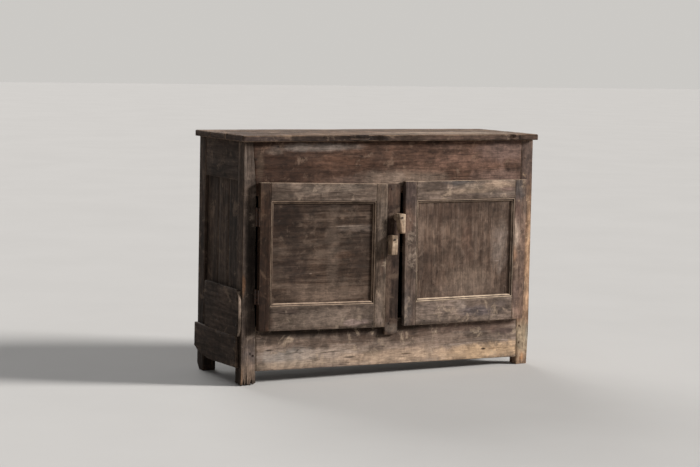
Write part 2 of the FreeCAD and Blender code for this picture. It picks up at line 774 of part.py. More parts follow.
def make_top():
    """The top: three planks, the front one torn and chipped along its edge, and two cleats."""
    first = "top_front + front_plank_width"
    second = first + " + plank_gap + middle_plank_width"
    level = ("case_height", "top_level")
    front = board("top_front_plank", "top_left", "top_right", "top_front", first, *level)
    middle = board("top_middle_plank", "top_left", "top_right", first + " + plank_gap", second, *level)
    back = board("top_back_plank", "top_left", "top_right", second + " + plank_gap", "top_back", *level)
    upper = at("z", size("top_level"))
    ends = either(at("x", size("top_left")), at("x", size("top_right")))
    front.chamfer("top_arris", both(upper, either(ends, at("y", size("top_front")))))
    middle.chamfer("top_arris", both(upper, ends))
    back.chamfer("top_arris", both(upper, either(ends, at("y", size("top_back")))))
    chip = "top_right - chip_place"
    front.cut("plan", [(chip, "top_front"), (chip + " + chip_width", "top_front"),
                       (chip + " + chip_width / 2", "top_front + chip_depth"),
                       (chip, "top_front + chip_depth / 2")], "case_height + bite_low", "top_level")
    front.cut_rings("plan", [("top_left + bite_place", "top_front + bite_depth - bite_radius")],
                    "bite_radius", "case_height + bite_low", "top_level")
    for side_name, side in SIDES:
        near = inward(side_name, side, "cleat_inset")
        far = inward(side_name, side, "cleat_inset + cleat_width")
        board("top_%s_cleat" % side_name, near, far, "inside_front", "back_rail_face - inside_play",
              "case_height - cleat_thickness", "case_height")


class Door:
    """A door out of square: where a point lies, by its way across from the hinge edge and up."""

    def __init__(self, name, side):
        self.name = name
        self.side = side
        self.door = name + "_door"
        self.left = "%s_hinge_stile" % self.door
        self.right = "%s_width - %s_meeting_stile" % (self.door, self.door)
        self.low = "%s_bottom_rail" % self.door
        self.high = "%s_height - %s_top_rail" % (self.door, self.door)

    def point(self, across, up):
        """The point's place from the front, where rails follow the sag and stiles the lean."""
        door = self.door
        lean = "%s_lean * (1 - (%s) / %s_height)" % (door, up, door)
        x = "%s_edge + (%d) * (%s) * (1 - %s / %s_width)" % (door, self.side, across, lean, door)
        z = "%s_foot + %s - %s_sag * (%s) / %s_width" % (door, up, door, across, door)
        return x, z

    def quad(self, near, far, low, high):
        """The corners of an upright rectangle as the door has skewed it."""
        return [self.point(near, low), self.point(far, low), self.point(far, high), self.point(near, high)]

    def make(self):
        """The frame, the panel and the moulding of the door."""
        door = self.door
        thick = ("door_front", "door_back")
        tenon = ("door_tenon_front", "door_tenon_back")
        panel = ("panel_front", "panel_back")
        width, height = door + "_width", door + "_height"
        rows = [("%s + door_tenon_shoulder" % base, "%s - door_tenon_shoulder" % crown)
                for base, crown in (("0", self.low), (self.high, height))]
        opening = (self.low + " - door_groove_depth", self.high + " + door_groove_depth")

        stiles = (("_hinge_stile", "0", self.left, self.left + " - %s", self.left),
                  ("_meeting_stile", self.right, width, self.right, self.right + " + %s"))
        for name, near, far, *joint in stiles:
            stile = Piece(door + name)
            stile.add("front", self.quad(near, far, "0", height), *thick)
            mortise = [text.replace("%s", "door_tenon_length") for text in joint]
            for row in rows:
                stile.cut("front", self.quad(*mortise, *row), *tenon)
            groove = [text.replace("%s", "door_groove_depth") for text in joint]
            stile.cut("front", self.quad(*groove, *opening), *panel)
            outside = far if near == self.right else near
            corners = self.point(outside, "0"), self.point(outside, height)
            stile.chamfer("door_arris", joins(*corners, thick[0]))

        ends = (self.left + " - door_tenon_length", self.right + " + door_tenon_length")
        rails = (("_bottom_rail", "0", self.low, rows[0], opening[0], self.low),
                 ("_top_rail", self.high, height, rows[1], self.high, opening[1]))
        for name, low, high, row, slot_low, slot_high in rails:
            rail = Piece(door + name)
            rail.add("front", self.quad(self.left, self.right, low, high), *thick)
            rail.add("front", self.quad(*ends, *row), *tenon)
            rail.cut("front", self.quad(self.left, self.right, slot_low, slot_high), *panel)

        field = Piece(door + "_panel")
        field.add("front", self.quad(self.left + " - door_groove_depth", self.right + " + door_groove_depth",
                                     *opening), *panel)
        self.make_moulding()

    def make_moulding(self):
        """The moulding round the panel: four mitred strips, each rounded off towards the panel."""
        outer = [(self.left, self.low), (self.right, self.low),
                 (self.right, self.high), (self.left, self.high)]
        near, far = self.left + " + moulding_width", self.right + " - moulding_width"
        low, high = self.low + " + moulding_width", self.high + " - moulding_width"
        inner = [(near, low), (far, low), (far, high), (near, high)]
        front = "door_front + moulding_drop"
        strips = []
        for number in range(len(outer)):
            after = (number + 1) % len(outer)
            spots = (outer[number], outer[after], inner[after], inner[number])
            corners = [self.point(*spot) for spot in spots]
            strip = Piece(self.door + "_moulding_strip", False)
            strip.add("front", corners, front, "panel_front")
            strip.fillet("moulding_round", joins(corners[2], corners[3], front))
            strips.append(strip)
        group(self.door + "_moulding", strips)


def knuckles(low, length, first):
    """The ranges in height of every other knuckle of a barrel."""
    share = "(%s + knuckle_gap) / %d" % (length, KNUCKLES)
    ranges = []
    for number in range(first, KNUCKLES, 2):
        start = "%s + %d * %s" % (low, number, share)
        ranges.append((start, "%s + %s - knuckle_gap" % (start, share)))
    return ranges


def hinge_leaves(node, axis, plate, tab, first, bore):
    """The like leaves of a door's two hinges: each a plate with every other knuckle tabbed to it."""
    leaves = []
    for low, length in HINGES:
        top = "%s + %s" % (low, length)
        leaf = Piece("hinge_leaf", False)
        leaf.add("plan", plate, low, top)
        for knuckle in knuckles(low, length, first):
            leaf.add("plan", tab, *knuckle)
            leaf.add_rings("plan", [axis], "barrel_radius", *knuckle)
        leaf.cut_rings("plan", [axis], bore, low, top)
        leaves.append(leaf)
    group(node, leaves)


def make_hinges():
    """Two butt hinges for each door, their leaves let into a post and planted on a door's edge."""
    inner_face = "left_outer + left_post_width"
    left_frame = (inner_face + " - leaf_thickness", inner_face)
    right_frame = ("right_hinge_axis - leaf_thickness / 2", "right_hinge_axis + leaf_thickness / 2")
    plates = {
        "left": oblong(*left_frame, "front_face", "front_face + left_frame_leaf_width"),
        "right": oblong("right_hinge_axis - right_frame_leaf_width", right_frame[1],
                        "front_face", "front_face + leaf_thickness"),
    }
    tabs = {
        "left": oblong(*left_frame, "hinge_axis_y", "front_face"),
        "right": oblong(*right_frame, "hinge_axis_y", "front_face"),
    }
    for name, side in SIDES:
        axis = (name + "_hinge_axis", "hinge_axis_y")
        hinge_leaves(name + "_hinge_frame_leaves", axis, plates[name], tabs[name], 0, "pin_radius")
        edge = name + "_door_edge"
        across = (edge, "%s - (%d) * leaf_thickness" % (edge, side))
        hinge_leaves(name + "_hinge_door_leaves", axis,
                     oblong(*across, "door_front + leaf_margin", "hinge_axis_y - barrel_stand"),
                     oblong(*across, "hinge_axis_y - barrel_stand", "hinge_axis_y"),
                     1, "pin_radius + pin_play")
        pins = []
        for low, length in HINGES:
            top = "%s + %s" % (low, length)
            pin = Piece("hinge_pin", False)
            pin.add_rings("plan", [axis], "pin_radius", low, top)
            pin.add_rings("plan", [axis], "pin_head_radius", top, top + " + pin_head_height")
            pins.append(pin)
        group(name + "_hinge_pins", pins)


def make_buttons():
    """The two turn buttons, each hanging by its own weight from a nail through its washer."""
    nails, washers = [], []
    for name, side in SIDES:
        button = name + "_button"
        pivot = (button + "_x", button + "_height")
        lap_front = "lap_back - %s_lap" % button
        piece = Piece(name + "_turn_button")
        corners = [("-%s_upper_end" % button, "-%s_lower_half" % button),
                   ("-%s_upper_end" % button, "%s_upper_half" % button),
                   ("%s_reach" % button, "%s_upper_half" % button),
                   ("%s_reach" % button, "-%s_tip_half" % button)]
        piece.add("front", [("%s - (%d) * (%s)" % (pivot[0], side, half), "%s - (%s)" % (pivot[1], along))
                            for along, half in corners], lap_front, "lap_back")
        piece.cut_rings("front", [pivot], "button_nail_radius + button_nail_play", lap_front, "lap_back")
        front, back = value(lap_front), value("lap_back")
        piece.chamfer("button_arris", either(at("y", front), lambda start, end: (
            abs(min(start.y, end.y) - front) < SAME and abs(max(start.y, end.y) - back) < SAME)))
        washer = Piece("button_washer", False)
        washer.add_rings("front", [pivot], "washer_radius", "washer_front", "strip_front")
        washer.cut_rings("front", [pivot], "button_nail_radius", "washer_front", "strip_front")
        washers.append(washer)
        head_back = lap_front + " - button_nail_head_gap"
        nail = Piece("button_nail", False)
        nail.add_rings("front", [pivot], "button_nail_radius", head_back, "front_rail_face")
        nail.add_rings("front", [pivot], "button_nail_head_radius",
                       head_back + " - button_nail_head_height", head_back)
        nails.append(nail)
    group("button_washers", washers)
    group("button_nails", nails)


make_front_posts()
make_back_posts()
make_front_rails()
make_pegs()
make_centre_stile()
for side_name, side in SIDES:
    make_side(side_name, side)
make_nailed_side_boards()
make_back()
make_floor()
make_shelf()
make_top()
for side_name, side in SIDES:
    Door(side_name, side).make()
make_hinges()
make_buttons()
doc.recompute()

for item in doc.Objects:
    faults = {"Invalid", "Error"} & set(item.State)
    if faults:
        raise SystemExit("%s is %s" % (item.Label, " and ".join(sorted(faults))))
for node in nodes:
    if node.Shape.isNull() or not node.Shape.isValid():
        raise SystemExit("%s has no valid shape" % node.Label)

os.makedirs("parts", exist_ok=True)
for node in nodes:
    node.Shape.exportStep("parts/%s.step" % node.Label)
print("%d nodes written" % len(nodes))
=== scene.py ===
"""Looks of an old two-door cupboard: worn wood, iron, camera, floor and light.

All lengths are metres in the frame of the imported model: X along the front, Y to the back, Z up.
"""
import json
import math
import random

import bmesh
import bpy
from mathutils import Matrix, Vector, noise
from mathutils.bvhtree import BVHTree


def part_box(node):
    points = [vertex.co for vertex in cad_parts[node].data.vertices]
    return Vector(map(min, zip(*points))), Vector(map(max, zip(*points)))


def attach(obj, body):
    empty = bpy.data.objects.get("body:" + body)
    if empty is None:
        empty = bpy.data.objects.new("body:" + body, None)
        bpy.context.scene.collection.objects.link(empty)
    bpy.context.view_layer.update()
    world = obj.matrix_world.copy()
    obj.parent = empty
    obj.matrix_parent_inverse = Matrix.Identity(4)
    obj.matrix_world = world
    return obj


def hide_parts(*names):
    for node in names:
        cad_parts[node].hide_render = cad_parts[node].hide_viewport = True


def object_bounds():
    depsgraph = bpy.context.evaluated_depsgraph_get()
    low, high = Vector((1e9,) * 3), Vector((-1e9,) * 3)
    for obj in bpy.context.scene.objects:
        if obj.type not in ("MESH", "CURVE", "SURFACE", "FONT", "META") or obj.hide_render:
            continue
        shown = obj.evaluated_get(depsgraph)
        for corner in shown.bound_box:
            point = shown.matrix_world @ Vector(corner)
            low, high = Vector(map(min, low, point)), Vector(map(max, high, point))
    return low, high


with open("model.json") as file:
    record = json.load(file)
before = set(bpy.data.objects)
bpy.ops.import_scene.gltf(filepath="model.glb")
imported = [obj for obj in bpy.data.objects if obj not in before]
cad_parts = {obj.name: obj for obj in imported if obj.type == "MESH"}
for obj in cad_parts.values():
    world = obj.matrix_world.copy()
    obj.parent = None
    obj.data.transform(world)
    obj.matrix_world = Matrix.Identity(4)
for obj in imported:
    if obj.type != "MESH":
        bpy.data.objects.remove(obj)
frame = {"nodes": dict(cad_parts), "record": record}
CAD_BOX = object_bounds()

X, Y, Z = 0, 1, 2
TO_LEFT, TO_RIGHT, TO_FRONT, TO_BACK, UP = (-1, 0, 0), (1, 0, 0), (0, -1, 0), (0, 1, 0), (0, 0, 1)
BODY = {node: body for body, members in frame["record"]["behaviour"]["bodies"].items() for node in members}
SLOT = {part["node"]: part["material_slot"] for part in frame["record"]["subparts"]}

# Where the marks are placed: Y on the front of the case, the doors, their panels, the centre stile and the
# top's edge, and Z on the top
FRONT = -0.1605
DOOR_FRONT = -0.1836
PANEL_FRONT = -0.170
STILE_FRONT = -0.175
RIM_FRONT = -0.18
TOP = 0.859
MARK_DEPTH = 0.03

# The surface of the woods and the iron, and the tones of cracks and of the dirt and painted shade in grooves
WOOD_ROUGHNESS = 0.78
WOOD_RELIEF = 0.0012
IRON_RELIEF = 0.0004
RELIEF_STRENGTH = 0.6
HOLLOW = (26, 18, 13)
GROOVE_GRIME_AND_SHADE = (30, 22, 17)

# How near points, cuts and planes have to be to count as one, the least area of a face that is worn as a
# face, the bend below which two faces are one, and the bend of an arris
MERGE_REACH = 2e-6
SLICE_REACH = 2e-5
ON_PLANE = 5e-5
SAME_PLANE = 1e-4
SAME_WAY = 0.9999
SMALLEST_FACE = 2.5e-4
FLAT_ANGLE = math.radians(0.6)
SHARP_BEND = 0.35

# How far a cut may be from its even place as a share of their gap, the share of an arris that goes in
# everywhere, and the waves a metre along and over the grain in which faces and arrises are uneven
CUT_SHIFT = 0.2
ARRIS_SHARE = 0.35
FACE_WAVES = (7, 32)
ARRIS_WAVES = (45, 90)

# How squarely a face looks one way to take that way's material, and the bends in degrees from which an
# edge is shaded sharp, on worn pieces and on mouldings
FACING = 0.8
WORN_BEND = 50
MOULDED_BEND = 60


def tone(red, green, blue):
    """A colour as it looks on a screen, from 0 to 255, turned into the shader's own numbers."""
    def linear(level):
        level /= 255
        return level / 12.92 if level <= 0.04045 else ((level + 0.055) / 1.055) ** 2.4
    return linear(red), linear(green), linear(blue), 1.0


class Shading:
    """A node material, built one step at a time on the object's own coordinates."""

    def __init__(self, name, roughness, specular=0.12):
        self.material = bpy.data.materials.new(name)
        self.material.use_nodes = True
        self.tree = self.material.node_tree
        self.surface = self.tree.nodes["Principled BSDF"]
        self.surface.inputs["Roughness"].default_value = roughness
        self.surface.inputs["Specular IOR Level"].default_value = specular
        self.place = self.add("ShaderNodeTexCoord").outputs["Object"]
        board = self.add("ShaderNodeAttribute", attribute_name="board").outputs["Vector"]
        self.cut = self.vector("ADD", self.place, board)
        self.edge = self.add("ShaderNodeAttribute", attribute_name="edge").outputs["Fac"]

    def add(self, kind, inputs=(), **settings):
        node = self.tree.nodes.new(kind)
        for key, number in settings.items():
            setattr(node, key, number)
        for key, source in dict(inputs).items():
            self.feed(node.inputs[key], source)
        return node

    def feed(self, socket, source):
        if isinstance(source, bpy.types.NodeSocket):
            self.tree.links.new(source, socket)
        else:
            socket.default_value = source

    def vector(self, operation, first, second):
        return self.add("ShaderNodeVectorMath", {0: first, 1: second}, operation=operation).outputs["Vector"]

    def math(self, operation, first, second=0.0):
        return self.add("ShaderNodeMath", {0: first, 1: second}, operation=operation).outputs[0]

    def times(self, first, second):
        return self.math("MULTIPLY", first, second)

    def level(self, source, low, high, to_low=0.0, to_high=1.0):
        """A smooth step: to_low where the source is low, to_high where it is high."""
        return self.add("ShaderNodeMapRange", {"Value": source, "From Min": low, "From Max": high,
                                               "To Min": to_low, "To Max": to_high},
                        interpolation_type="SMOOTHSTEP").outputs["Result"]

    def cloud(self, scales, detail, roughness, distortion=0.0, at=None):
        """Noise on the board's own coordinates, with so many waves a metre along each axis."""
        spread = self.vector("MULTIPLY", at or self.cut, scales)
        return self.add("ShaderNodeTexNoise", {
            "Vector": spread, "Scale": 1.0, "Detail": detail, "Roughness": roughness,
            "Distortion": distortion}).outputs["Fac"]

    def ramp(self, source, stops):
        node = self.add("ShaderNodeValToRGB", {"Fac": source})
        places = node.color_ramp.elements
        while len(places) < len(stops):
            places.new(0.5)
        for place, (at, colour) in zip(places, stops):
            place.position = at
            place.color = colour
        return node.outputs["Color"]

    def mix(self, share, first, second, blend="MIX"):
        return self.add("ShaderNodeMix", {0: share, 6: first, 7: second}, data_type="RGBA",
                        blend_type=blend).outputs[2]

    def shaded(self, colour, source, low, high, darkest, lightest):
        """The colour made darker where the source is low and lighter where it is high."""
        light = self.level(source, low, high, darkest, lightest)
        grey = self.add("ShaderNodeCombineColor", {0: light, 1: light, 2: light}).outputs[0]
        return self.mix(1.0, colour, grey, "MULTIPLY")

    def spot(self, middle, radii, ragged, amount):
        """A soft-edged ellipsoid about a place in the model's frame: one inside, nothing outside."""
        apart = self.vector("MULTIPLY", self.vector("SUBTRACT", self.place, middle),
                            [1 / radius for radius in radii])
        far = self.add("ShaderNodeVectorMath", {0: apart}, operation="LENGTH").outputs["Value"]
        far = self.math("ADD", far, self.times(self.math("SUBTRACT", ragged, 0.5), amount))
        return self.level(far, 1.15, 0.35)

    def bump(self, height, depth):
        """Relief of a height that goes from nothing to one, over so many metres."""
        node = self.add("ShaderNodeBump", {"Strength": RELIEF_STRENGTH, "Distance": depth, "Height": height})
        self.feed(self.surface.inputs["Normal"], node.outputs["Normal"])


def along(grain, lengthwise, crosswise):
    """Waves a metre for a grain that runs along one axis."""
    return [lengthwise if axis == grain else crosswise for axis in range(3)]


def wood(name, grain, dark, middle, pale, marks=(), worn=None, wear=0.7, dirt=0.45, cracks=0.5, patchy=1.0):
    """Old wood, from its three tones and its grain to the marks placed on it and its pale arrises, worn and
    with a painted highlight.
    """
    shading = Shading(name, WOOD_ROUGHNESS)
    figure = shading.cloud(along(grain, 5, 70), 5, 0.62, 0.5)
    bands = shading.cloud(along(grain, 1.8, 13), 3, 0.55, 0.6)
    fibre = shading.cloud(along(grain, 22, 520), 2, 0.6)
    blotch = shading.cloud((17, 17, 17), 5, 0.68, 0.4)
    grime = shading.cloud((5.5, 5.5, 5.5), 4, 0.7, 0.3)
    mottle = shading.cloud(along(grain, 32, 88), 4, 0.72, 0.3)

    # The wood's own tones, the dirt on it, and the marks
    depth = shading.math("ADD", shading.times(figure, 0.6), shading.times(bands, 0.4))
    colour = shading.ramp(depth, [(0.34, tone(*dark)), (0.5, tone(*middle)), (0.66, tone(*pale))])
    colour = shading.shaded(colour, grime, 0.36, 0.62, 1.0 - dirt, 1.12)
    for place, radii, stain, strength, ragged in marks:
        mask = shading.spot(place, radii, blotch, ragged)
        colour = shading.mix(shading.times(mask, strength), colour, tone(*stain))

    # Fibres, patches, rubbed strokes across the grain, damp stains and scuffs
    colour = shading.shaded(colour, fibre, 0.30, 0.72, 0.76, 1.20)
    colour = shading.shaded(colour, mottle, 0.34, 0.66, 1 - 0.28 * patchy, 1 + 0.26 * patchy)
    strokes = shading.cloud(along(grain, 130, 5), 2, 0.5)
    colour = shading.shaded(colour, strokes, 0.3, 0.7, 0.95, 1.05)
    damp = shading.cloud((24, 24, 24), 4, 0.7, 0.5)
    colour = shading.shaded(colour, damp, 0.40, 0.58, 0.74, 1.06)
    scuff = shading.level(blotch, 0.55, 0.68, 0.0, 0.55)
    colour = shading.mix(scuff, colour, tone(*(worn or pale)))

    # Thin cracks where a long wave passes its middle, and worm holes in one cell of five
    thin = shading.cloud(along(grain, 2.6, 46), 2, 0.5, 0.25)
    crack = shading.level(shading.math("ABSOLUTE", shading.math("SUBTRACT", thin, 0.5)), 0.010, 0.002)
    crack = shading.times(crack, shading.level(bands, 0.55, 0.42, 0.0, cracks))
    cell = shading.add("ShaderNodeTexVoronoi", {"Vector": shading.cut, "Scale": 42.0})
    pick = shading.add("ShaderNodeSeparateColor", {0: cell.outputs["Color"]}).outputs[0]
    few = shading.level(pick, 0.78, 0.80)
    hole = shading.times(shading.level(cell.outputs["Distance"], 0.060, 0.036), few)
    hollow = shading.math("MAXIMUM", crack, hole)
    colour = shading.mix(hollow, colour, tone(*HOLLOW))

    # Pale arrises, worn and with a painted highlight, and grooves darkened by grime and painted shade
    if worn:
        edge = shading.times(shading.level(shading.edge, 0.25, 0.9),
                             shading.level(blotch, 0.34, 0.58, 0.35 * wear, wear))
        colour = shading.mix(edge, colour, tone(*worn))
        groove = shading.level(shading.edge, -0.2, -0.9, 0.0, 0.8)
        colour = shading.mix(groove, colour, tone(*GROOVE_GRIME_AND_SHADE))

    shading.feed(shading.surface.inputs["Base Color"], colour)
    shading.feed(shading.surface.inputs["Roughness"],
                 shading.level(figure, 0.3, 0.7, WOOD_ROUGHNESS + 0.1, WOOD_ROUGHNESS - 0.08))
    height = shading.math("ADD", shading.times(fibre, 0.55), figure)
    height = shading.math("ADD", height, shading.times(mottle, 0.35))
    height = shading.math("SUBTRACT", height, shading.times(hollow, 2.0))
    shading.bump(height, WOOD_RELIEF)
    return shading.material


def iron(name, bare, rust):
    """Dull dark iron with rust."""
    shading = Shading(name, 0.62, 0.3)
    bloom = shading.cloud((150, 150, 150), 4, 0.65)
    pits = shading.cloud((900, 900, 900), 2, 0.6)
    colour = shading.ramp(bloom, [(0.38, tone(*bare)), (0.62, tone(*rust))])
    shading.feed(shading.surface.inputs["Base Color"], colour)
    shading.feed(shading.surface.inputs["Roughness"], shading.level(bloom, 0.35, 0.65, 0.45, 0.8))
    shading.bump(pits, IRON_RELIEF)
    return shading.material


def islands(mesh):
    """The separate solids of a mesh, each as a bmesh of its own, in the same order in each run."""
    whole = bmesh.new()
    whole.from_mesh(mesh)
    bmesh.ops.remove_doubles(whole, verts=whole.verts, dist=MERGE_REACH)
    bmesh.ops.dissolve_limit(whole, angle_limit=FLAT_ANGLE, verts=whole.verts, edges=whole.edges)
    whole.faces.index_update()
    whole.faces.ensure_lookup_table()
    left = set(range(len(whole.faces)))
    while left:
        group, border = set(), [min(left)]
        while border:
            number = border.pop()
            if number not in group:
                group.add(number)
                border.extend(near.index for edge in whole.faces[number].edges for near in edge.link_faces)
        left -= group
        part, copies = bmesh.new(), {}
        for number in sorted(group):
            for vert in whole.faces[number].verts:
                if vert not in copies:
                    copies[vert] = part.verts.new(vert.co)
            part.faces.new([copies[vert] for vert in whole.faces[number].verts])
        part.normal_update()
        yield part
    whole.free()


def unit(axis):
    """One metre along an axis."""
    return Vector([float(other == axis) for other in range(3)])


def slice_at(part, place, normal, geometry=None):
    """New edges where a plane meets the whole solid, or only some of its geometry."""
    if geometry is None:
        geometry = part.verts[:] + part.edges[:] + part.faces[:]
    bmesh.ops.bisect_plane(part, geom=geometry, dist=SLICE_REACH, plane_co=place, plane_no=normal)


def rough_noise(point, seed, waves):
    """Noise between nothing and one, with so many waves a metre along each axis."""
    spot = Vector([point[axis] * waves[axis] for axis in range(3)]) + seed
    return min(1.0, max(0.0, 0.5 + 0.5 * noise.fractal(spot, 0.9, 2.1, 3)))


def random_seed(chance):
    """A place far from all others in the noise, so that no two boards look the same."""
    return Vector([chance.uniform(0, 90) for _ in range(3)])


def added(name, data):
    """A new object of the scene."""
    made = bpy.data.objects.new(name, data)
    bpy.context.scene.collection.objects.link(made)
    return made


def made_mesh(name, whole):
    """The bmesh as a mesh, with the bmesh freed."""
    mesh = bpy.data.meshes.new(name)
    whole.to_mesh(mesh)
    whole.free()
    return mesh


def worn_bmesh():
    """A bmesh with the two layers that the woods read: how pale a point is, worn and with a painted
    highlight, or how dark, with grime and painted shade, and its board's own seed.
    """
    whole = bmesh.new()
    return whole, whole.verts.layers.float.new("edge"), whole.verts.layers.float_vector.new("board")


def placed(node, mesh, materials, sharp):
    """The mesh as a piece that rides where the CAD node does and stands for it."""
    mesh.set_sharp_from_angle(angle=math.radians(sharp))
    for material in materials:
        mesh.materials.append(material)
    piece = added(mesh.name, mesh)
    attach(piece, BODY[node])
    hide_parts(node)
    return piece


def flat_faces(part):
    """A point and the normal of each plane that larger faces of a solid lie in."""
    planes = []
    for face in part.faces:
        if face.calc_area() > SMALLEST_FACE:
            normal, place = face.normal.copy(), face.calc_center_median()
            if not any(normal.dot(other) > SAME_WAY and abs((place - spot).dot(normal)) < SAME_PLANE
                       for spot, other in planes):
                planes.append((place, normal))
    return planes


def weathered(node, materials, grain=None, step=0.014, across=0.016, arris=0.0016, chew=0.0010,
              relief=0.0006, carve=None, close=None, faces=()):
    """A copy of a CAD node with worn arrises and uneven faces, never proud of the node's own.

    It is cut every step along the grain and every across over it. Arrises go in by a share of arris and by
    up to chew more, and faces by up to relief. carve moves a point, close adds finer cuts across one
    axis in a part of the node, and faces gives other materials to the faces that look one way.
    """
    whole, edges, seeds = worn_bmesh()
    chance = random.Random(node)
    for part in islands(frame["nodes"][node].data):
        low = Vector([min(vert.co[axis] for vert in part.verts) for axis in range(3)])
        high = Vector([max(vert.co[axis] for vert in part.verts) for axis in range(3)])
        size = high - low
        lengthwise = grain if grain is not None else max(range(3), key=lambda axis: size[axis])
        planes = flat_faces(part)
        for place, normal in planes:
            slice_at(part, place - arris * normal, normal)
        for axis in range(3):
            count = int(size[axis] / (step if axis == lengthwise else across))
            for number in range(1, count):
                place = low.copy()
                place[axis] += size[axis] * (number + chance.uniform(-CUT_SHIFT, CUT_SHIFT)) / count
                slice_at(part, place, unit(axis))
        if close:
            axis, gap, inside = close
            for number in range(1, int(size[axis] / gap)):
                near = [face for face in part.faces if all(inside(vert.co) for vert in face.verts)]
                ends = {item for face in near for item in list(face.verts) + list(face.edges)}
                slice_at(part, low + unit(axis) * gap * number, unit(axis), near + list(ends))
        part.normal_update()
        seed = random_seed(chance)
        coarse, fine = along(lengthwise, *FACE_WAVES), along(lengthwise, *ARRIS_WAVES)
        moves = {}
        for vert in part.verts:
            meeting = [normal for place, normal in planes if abs((vert.co - place).dot(normal)) < ON_PLANE]
            sharp = any(edge.is_convex and edge.calc_face_angle(0) > SHARP_BEND for edge in vert.link_edges)
            # Arrises go in, and the woods paint them pale: wear together with a painted highlight.
            worn = 1.0 if len(meeting) >= 2 and sharp else 0.0
            depth = relief * rough_noise(vert.co, seed, coarse)
            if worn:
                depth += arris * ARRIS_SHARE + chew * rough_noise(vert.co, seed, fine) ** 2
            moves[vert] = (worn, depth)
        made = {}
        for vert, (worn, depth) in moves.items():
            made[vert] = whole.verts.new(vert.co - vert.normal * depth)
            made[vert][edges] = worn
            made[vert][seeds] = seed
            if carve:
                made[vert].co = carve(made[vert].co)
        for face in part.faces:
            corners = [made[vert] for vert in face.verts]
            if whole.faces.get(corners) is None:
                new = whole.faces.new(corners)
                new.smooth = True
                new.material_index = lengthwise if len(materials) == 3 else 0
                for number, (way, _) in enumerate(faces):
                    if face.normal.dot(Vector(way)) > FACING:
                        new.material_index = len(materials) + number
        part.free()
    materials = list(materials) + [other for _, other in faces]
    return placed(node, made_mesh("worn_" + node, whole), materials, WORN_BEND)


# Each point of the moulding's section: how far in from its outer edge and back from the door's front, in mm,
# and how pale (1), worn and with a painted highlight, or how dark (-1), with grime and painted shade, it is
MOULDING = ((0.0, 9.0, -1), (0.0, 2.2, -1), (0.9, 1.1, 0), (2.3, 0.6, 1), (3.8, 1.0, 0.5), (4.8, 2.9, -1),
            (5.7, 3.0, -1), (6.7, 2.0, 0), (8.1, 2.5, 0.5), (9.4, 4.2, 1), (10.5, 6.2, 0.7),
            (11.1, 7.3, -0.8), (12.0, 7.6, 0.2), (12.0, 9.0, -1))
MOULDING_STEP = 0.011
# Its points between these distances back, in mm, are worn by up to so much more, in so many waves a metre
MOULDING_WORN = (0.5, 8)
MOULDING_WEAR = 0.0008
MOULDING_WAVES = (60, 200, 60)


def strip_corners(node):
    """The outer and inner corner of each mitre on the front of the CAD strips, from low left to top left."""
    points = [vert.co for vert in frame["nodes"][node].data.vertices]
    level = max(point.y for point in points)
    points = [point for point in points if level - point.y < SAME_PLANE]
    middle = sum(points, Vector()) / len(points)
    corners = []
    for right, up in ((-1, -1), (1, -1), (1, 1), (-1, 1)):
        def far(point):
            return right * point.x + up * point.z
        near = [point for point in points
                if right * (point.x - middle.x) > 0 and up * (point.z - middle.z) > 0]
        corners.append((max(near, key=far), min(near, key=far)))
    return corners


def moulding(node, materials):
    """Four mitred strips with a bead and an ogee, worn uneven, between the corners of the CAD strips."""
    corners = strip_corners(node)
    whole, edges, seeds = worn_bmesh()
    chance = random.Random(node)
    width = MOULDING[-1][0]
    for number, (starts, ends) in enumerate(zip(corners, corners[1:] + corners[:1])):
        seed = random_seed(chance)
        count = round((ends[0] - starts[0]).length / MOULDING_STEP)
        rings = []
        for row in range(count + 1):
            ring = []
            for across, back, state in MOULDING:
                first = starts[0].lerp(starts[1], across / width)
                place = first.lerp(ends[0].lerp(ends[1], across / width), row / count)
                place.y = DOOR_FRONT + back / 1000
                if MOULDING_WORN[0] < back < MOULDING_WORN[1]:
                    place.y += MOULDING_WEAR * rough_noise(place, seed, MOULDING_WAVES) ** 2
                vert = whole.verts.new(place)
                vert[edges] = state
                vert[seeds] = seed
                ring.append(vert)
            rings.append(ring)
        for one, two in zip(rings, rings[1:]):
            for at in range(len(one)):
                after = (at + 1) % len(one)
                face = whole.faces.new((one[at], one[after], two[after], two[at]))
                face.smooth = True
                # The bottom strip takes the last, paler wood of a painted highlight.
                face.material_index = (len(materials) - 1, Z, X, Z)[number]
        for ring in (rings[0], rings[-1]):
            whole.faces.new(ring)
    bmesh.ops.recalc_face_normals(whole, faces=whole.faces)
    placed(node, made_mesh("shaped_" + node, whole), materials, MOULDED_BEND)


# Each ring of a nail or screw head: its share of the radius, and how far it stands from the face
HEAD_RINGS = ((1.0, -0.0008), (1.0, 0.00012), (0.82, 0.0003))
# How far inside the CAD model's box a head's middle stays, and how much the heads' radii differ
HEAD_ROOM = 0.0004
HEAD_SPREAD = (0.9, 1.1)


def head(whole, seat, way, radius, slot, chance):
    """A six-sided nail head or both halves of a slotted screw head, sunk in a face and a hair proud of it."""
    way = Vector(way)
    aside = way.orthogonal().normalized()
    turn = Matrix.Rotation(chance.uniform(0, math.pi), 3, way)
    aside, above = turn @ aside, turn @ way.cross(aside)
    for half in ((1, -1) if slot else (1,)):
        rings = []
        for share, proud in HEAD_RINGS:
            wide = share * radius
            reach = math.acos(slot / 2 / wide) if slot else math.pi * 5 / 6
            angles = [reach * (number / 3 - 1) for number in range(7 if slot else 6)]
            rings.append([whole.verts.new(seat + proud * way + half * wide * (
                math.cos(angle) * aside + math.sin(angle) * above)) for angle in angles])
        for low, high in zip(rings, rings[1:]):
            for at in range(len(low)):
                after = (at + 1) % len(low)
                whole.faces.new((low[at], low[after], high[after], high[at]))
        whole.faces.new(rings[0][::-1])
        whole.faces.new(rings[-1])


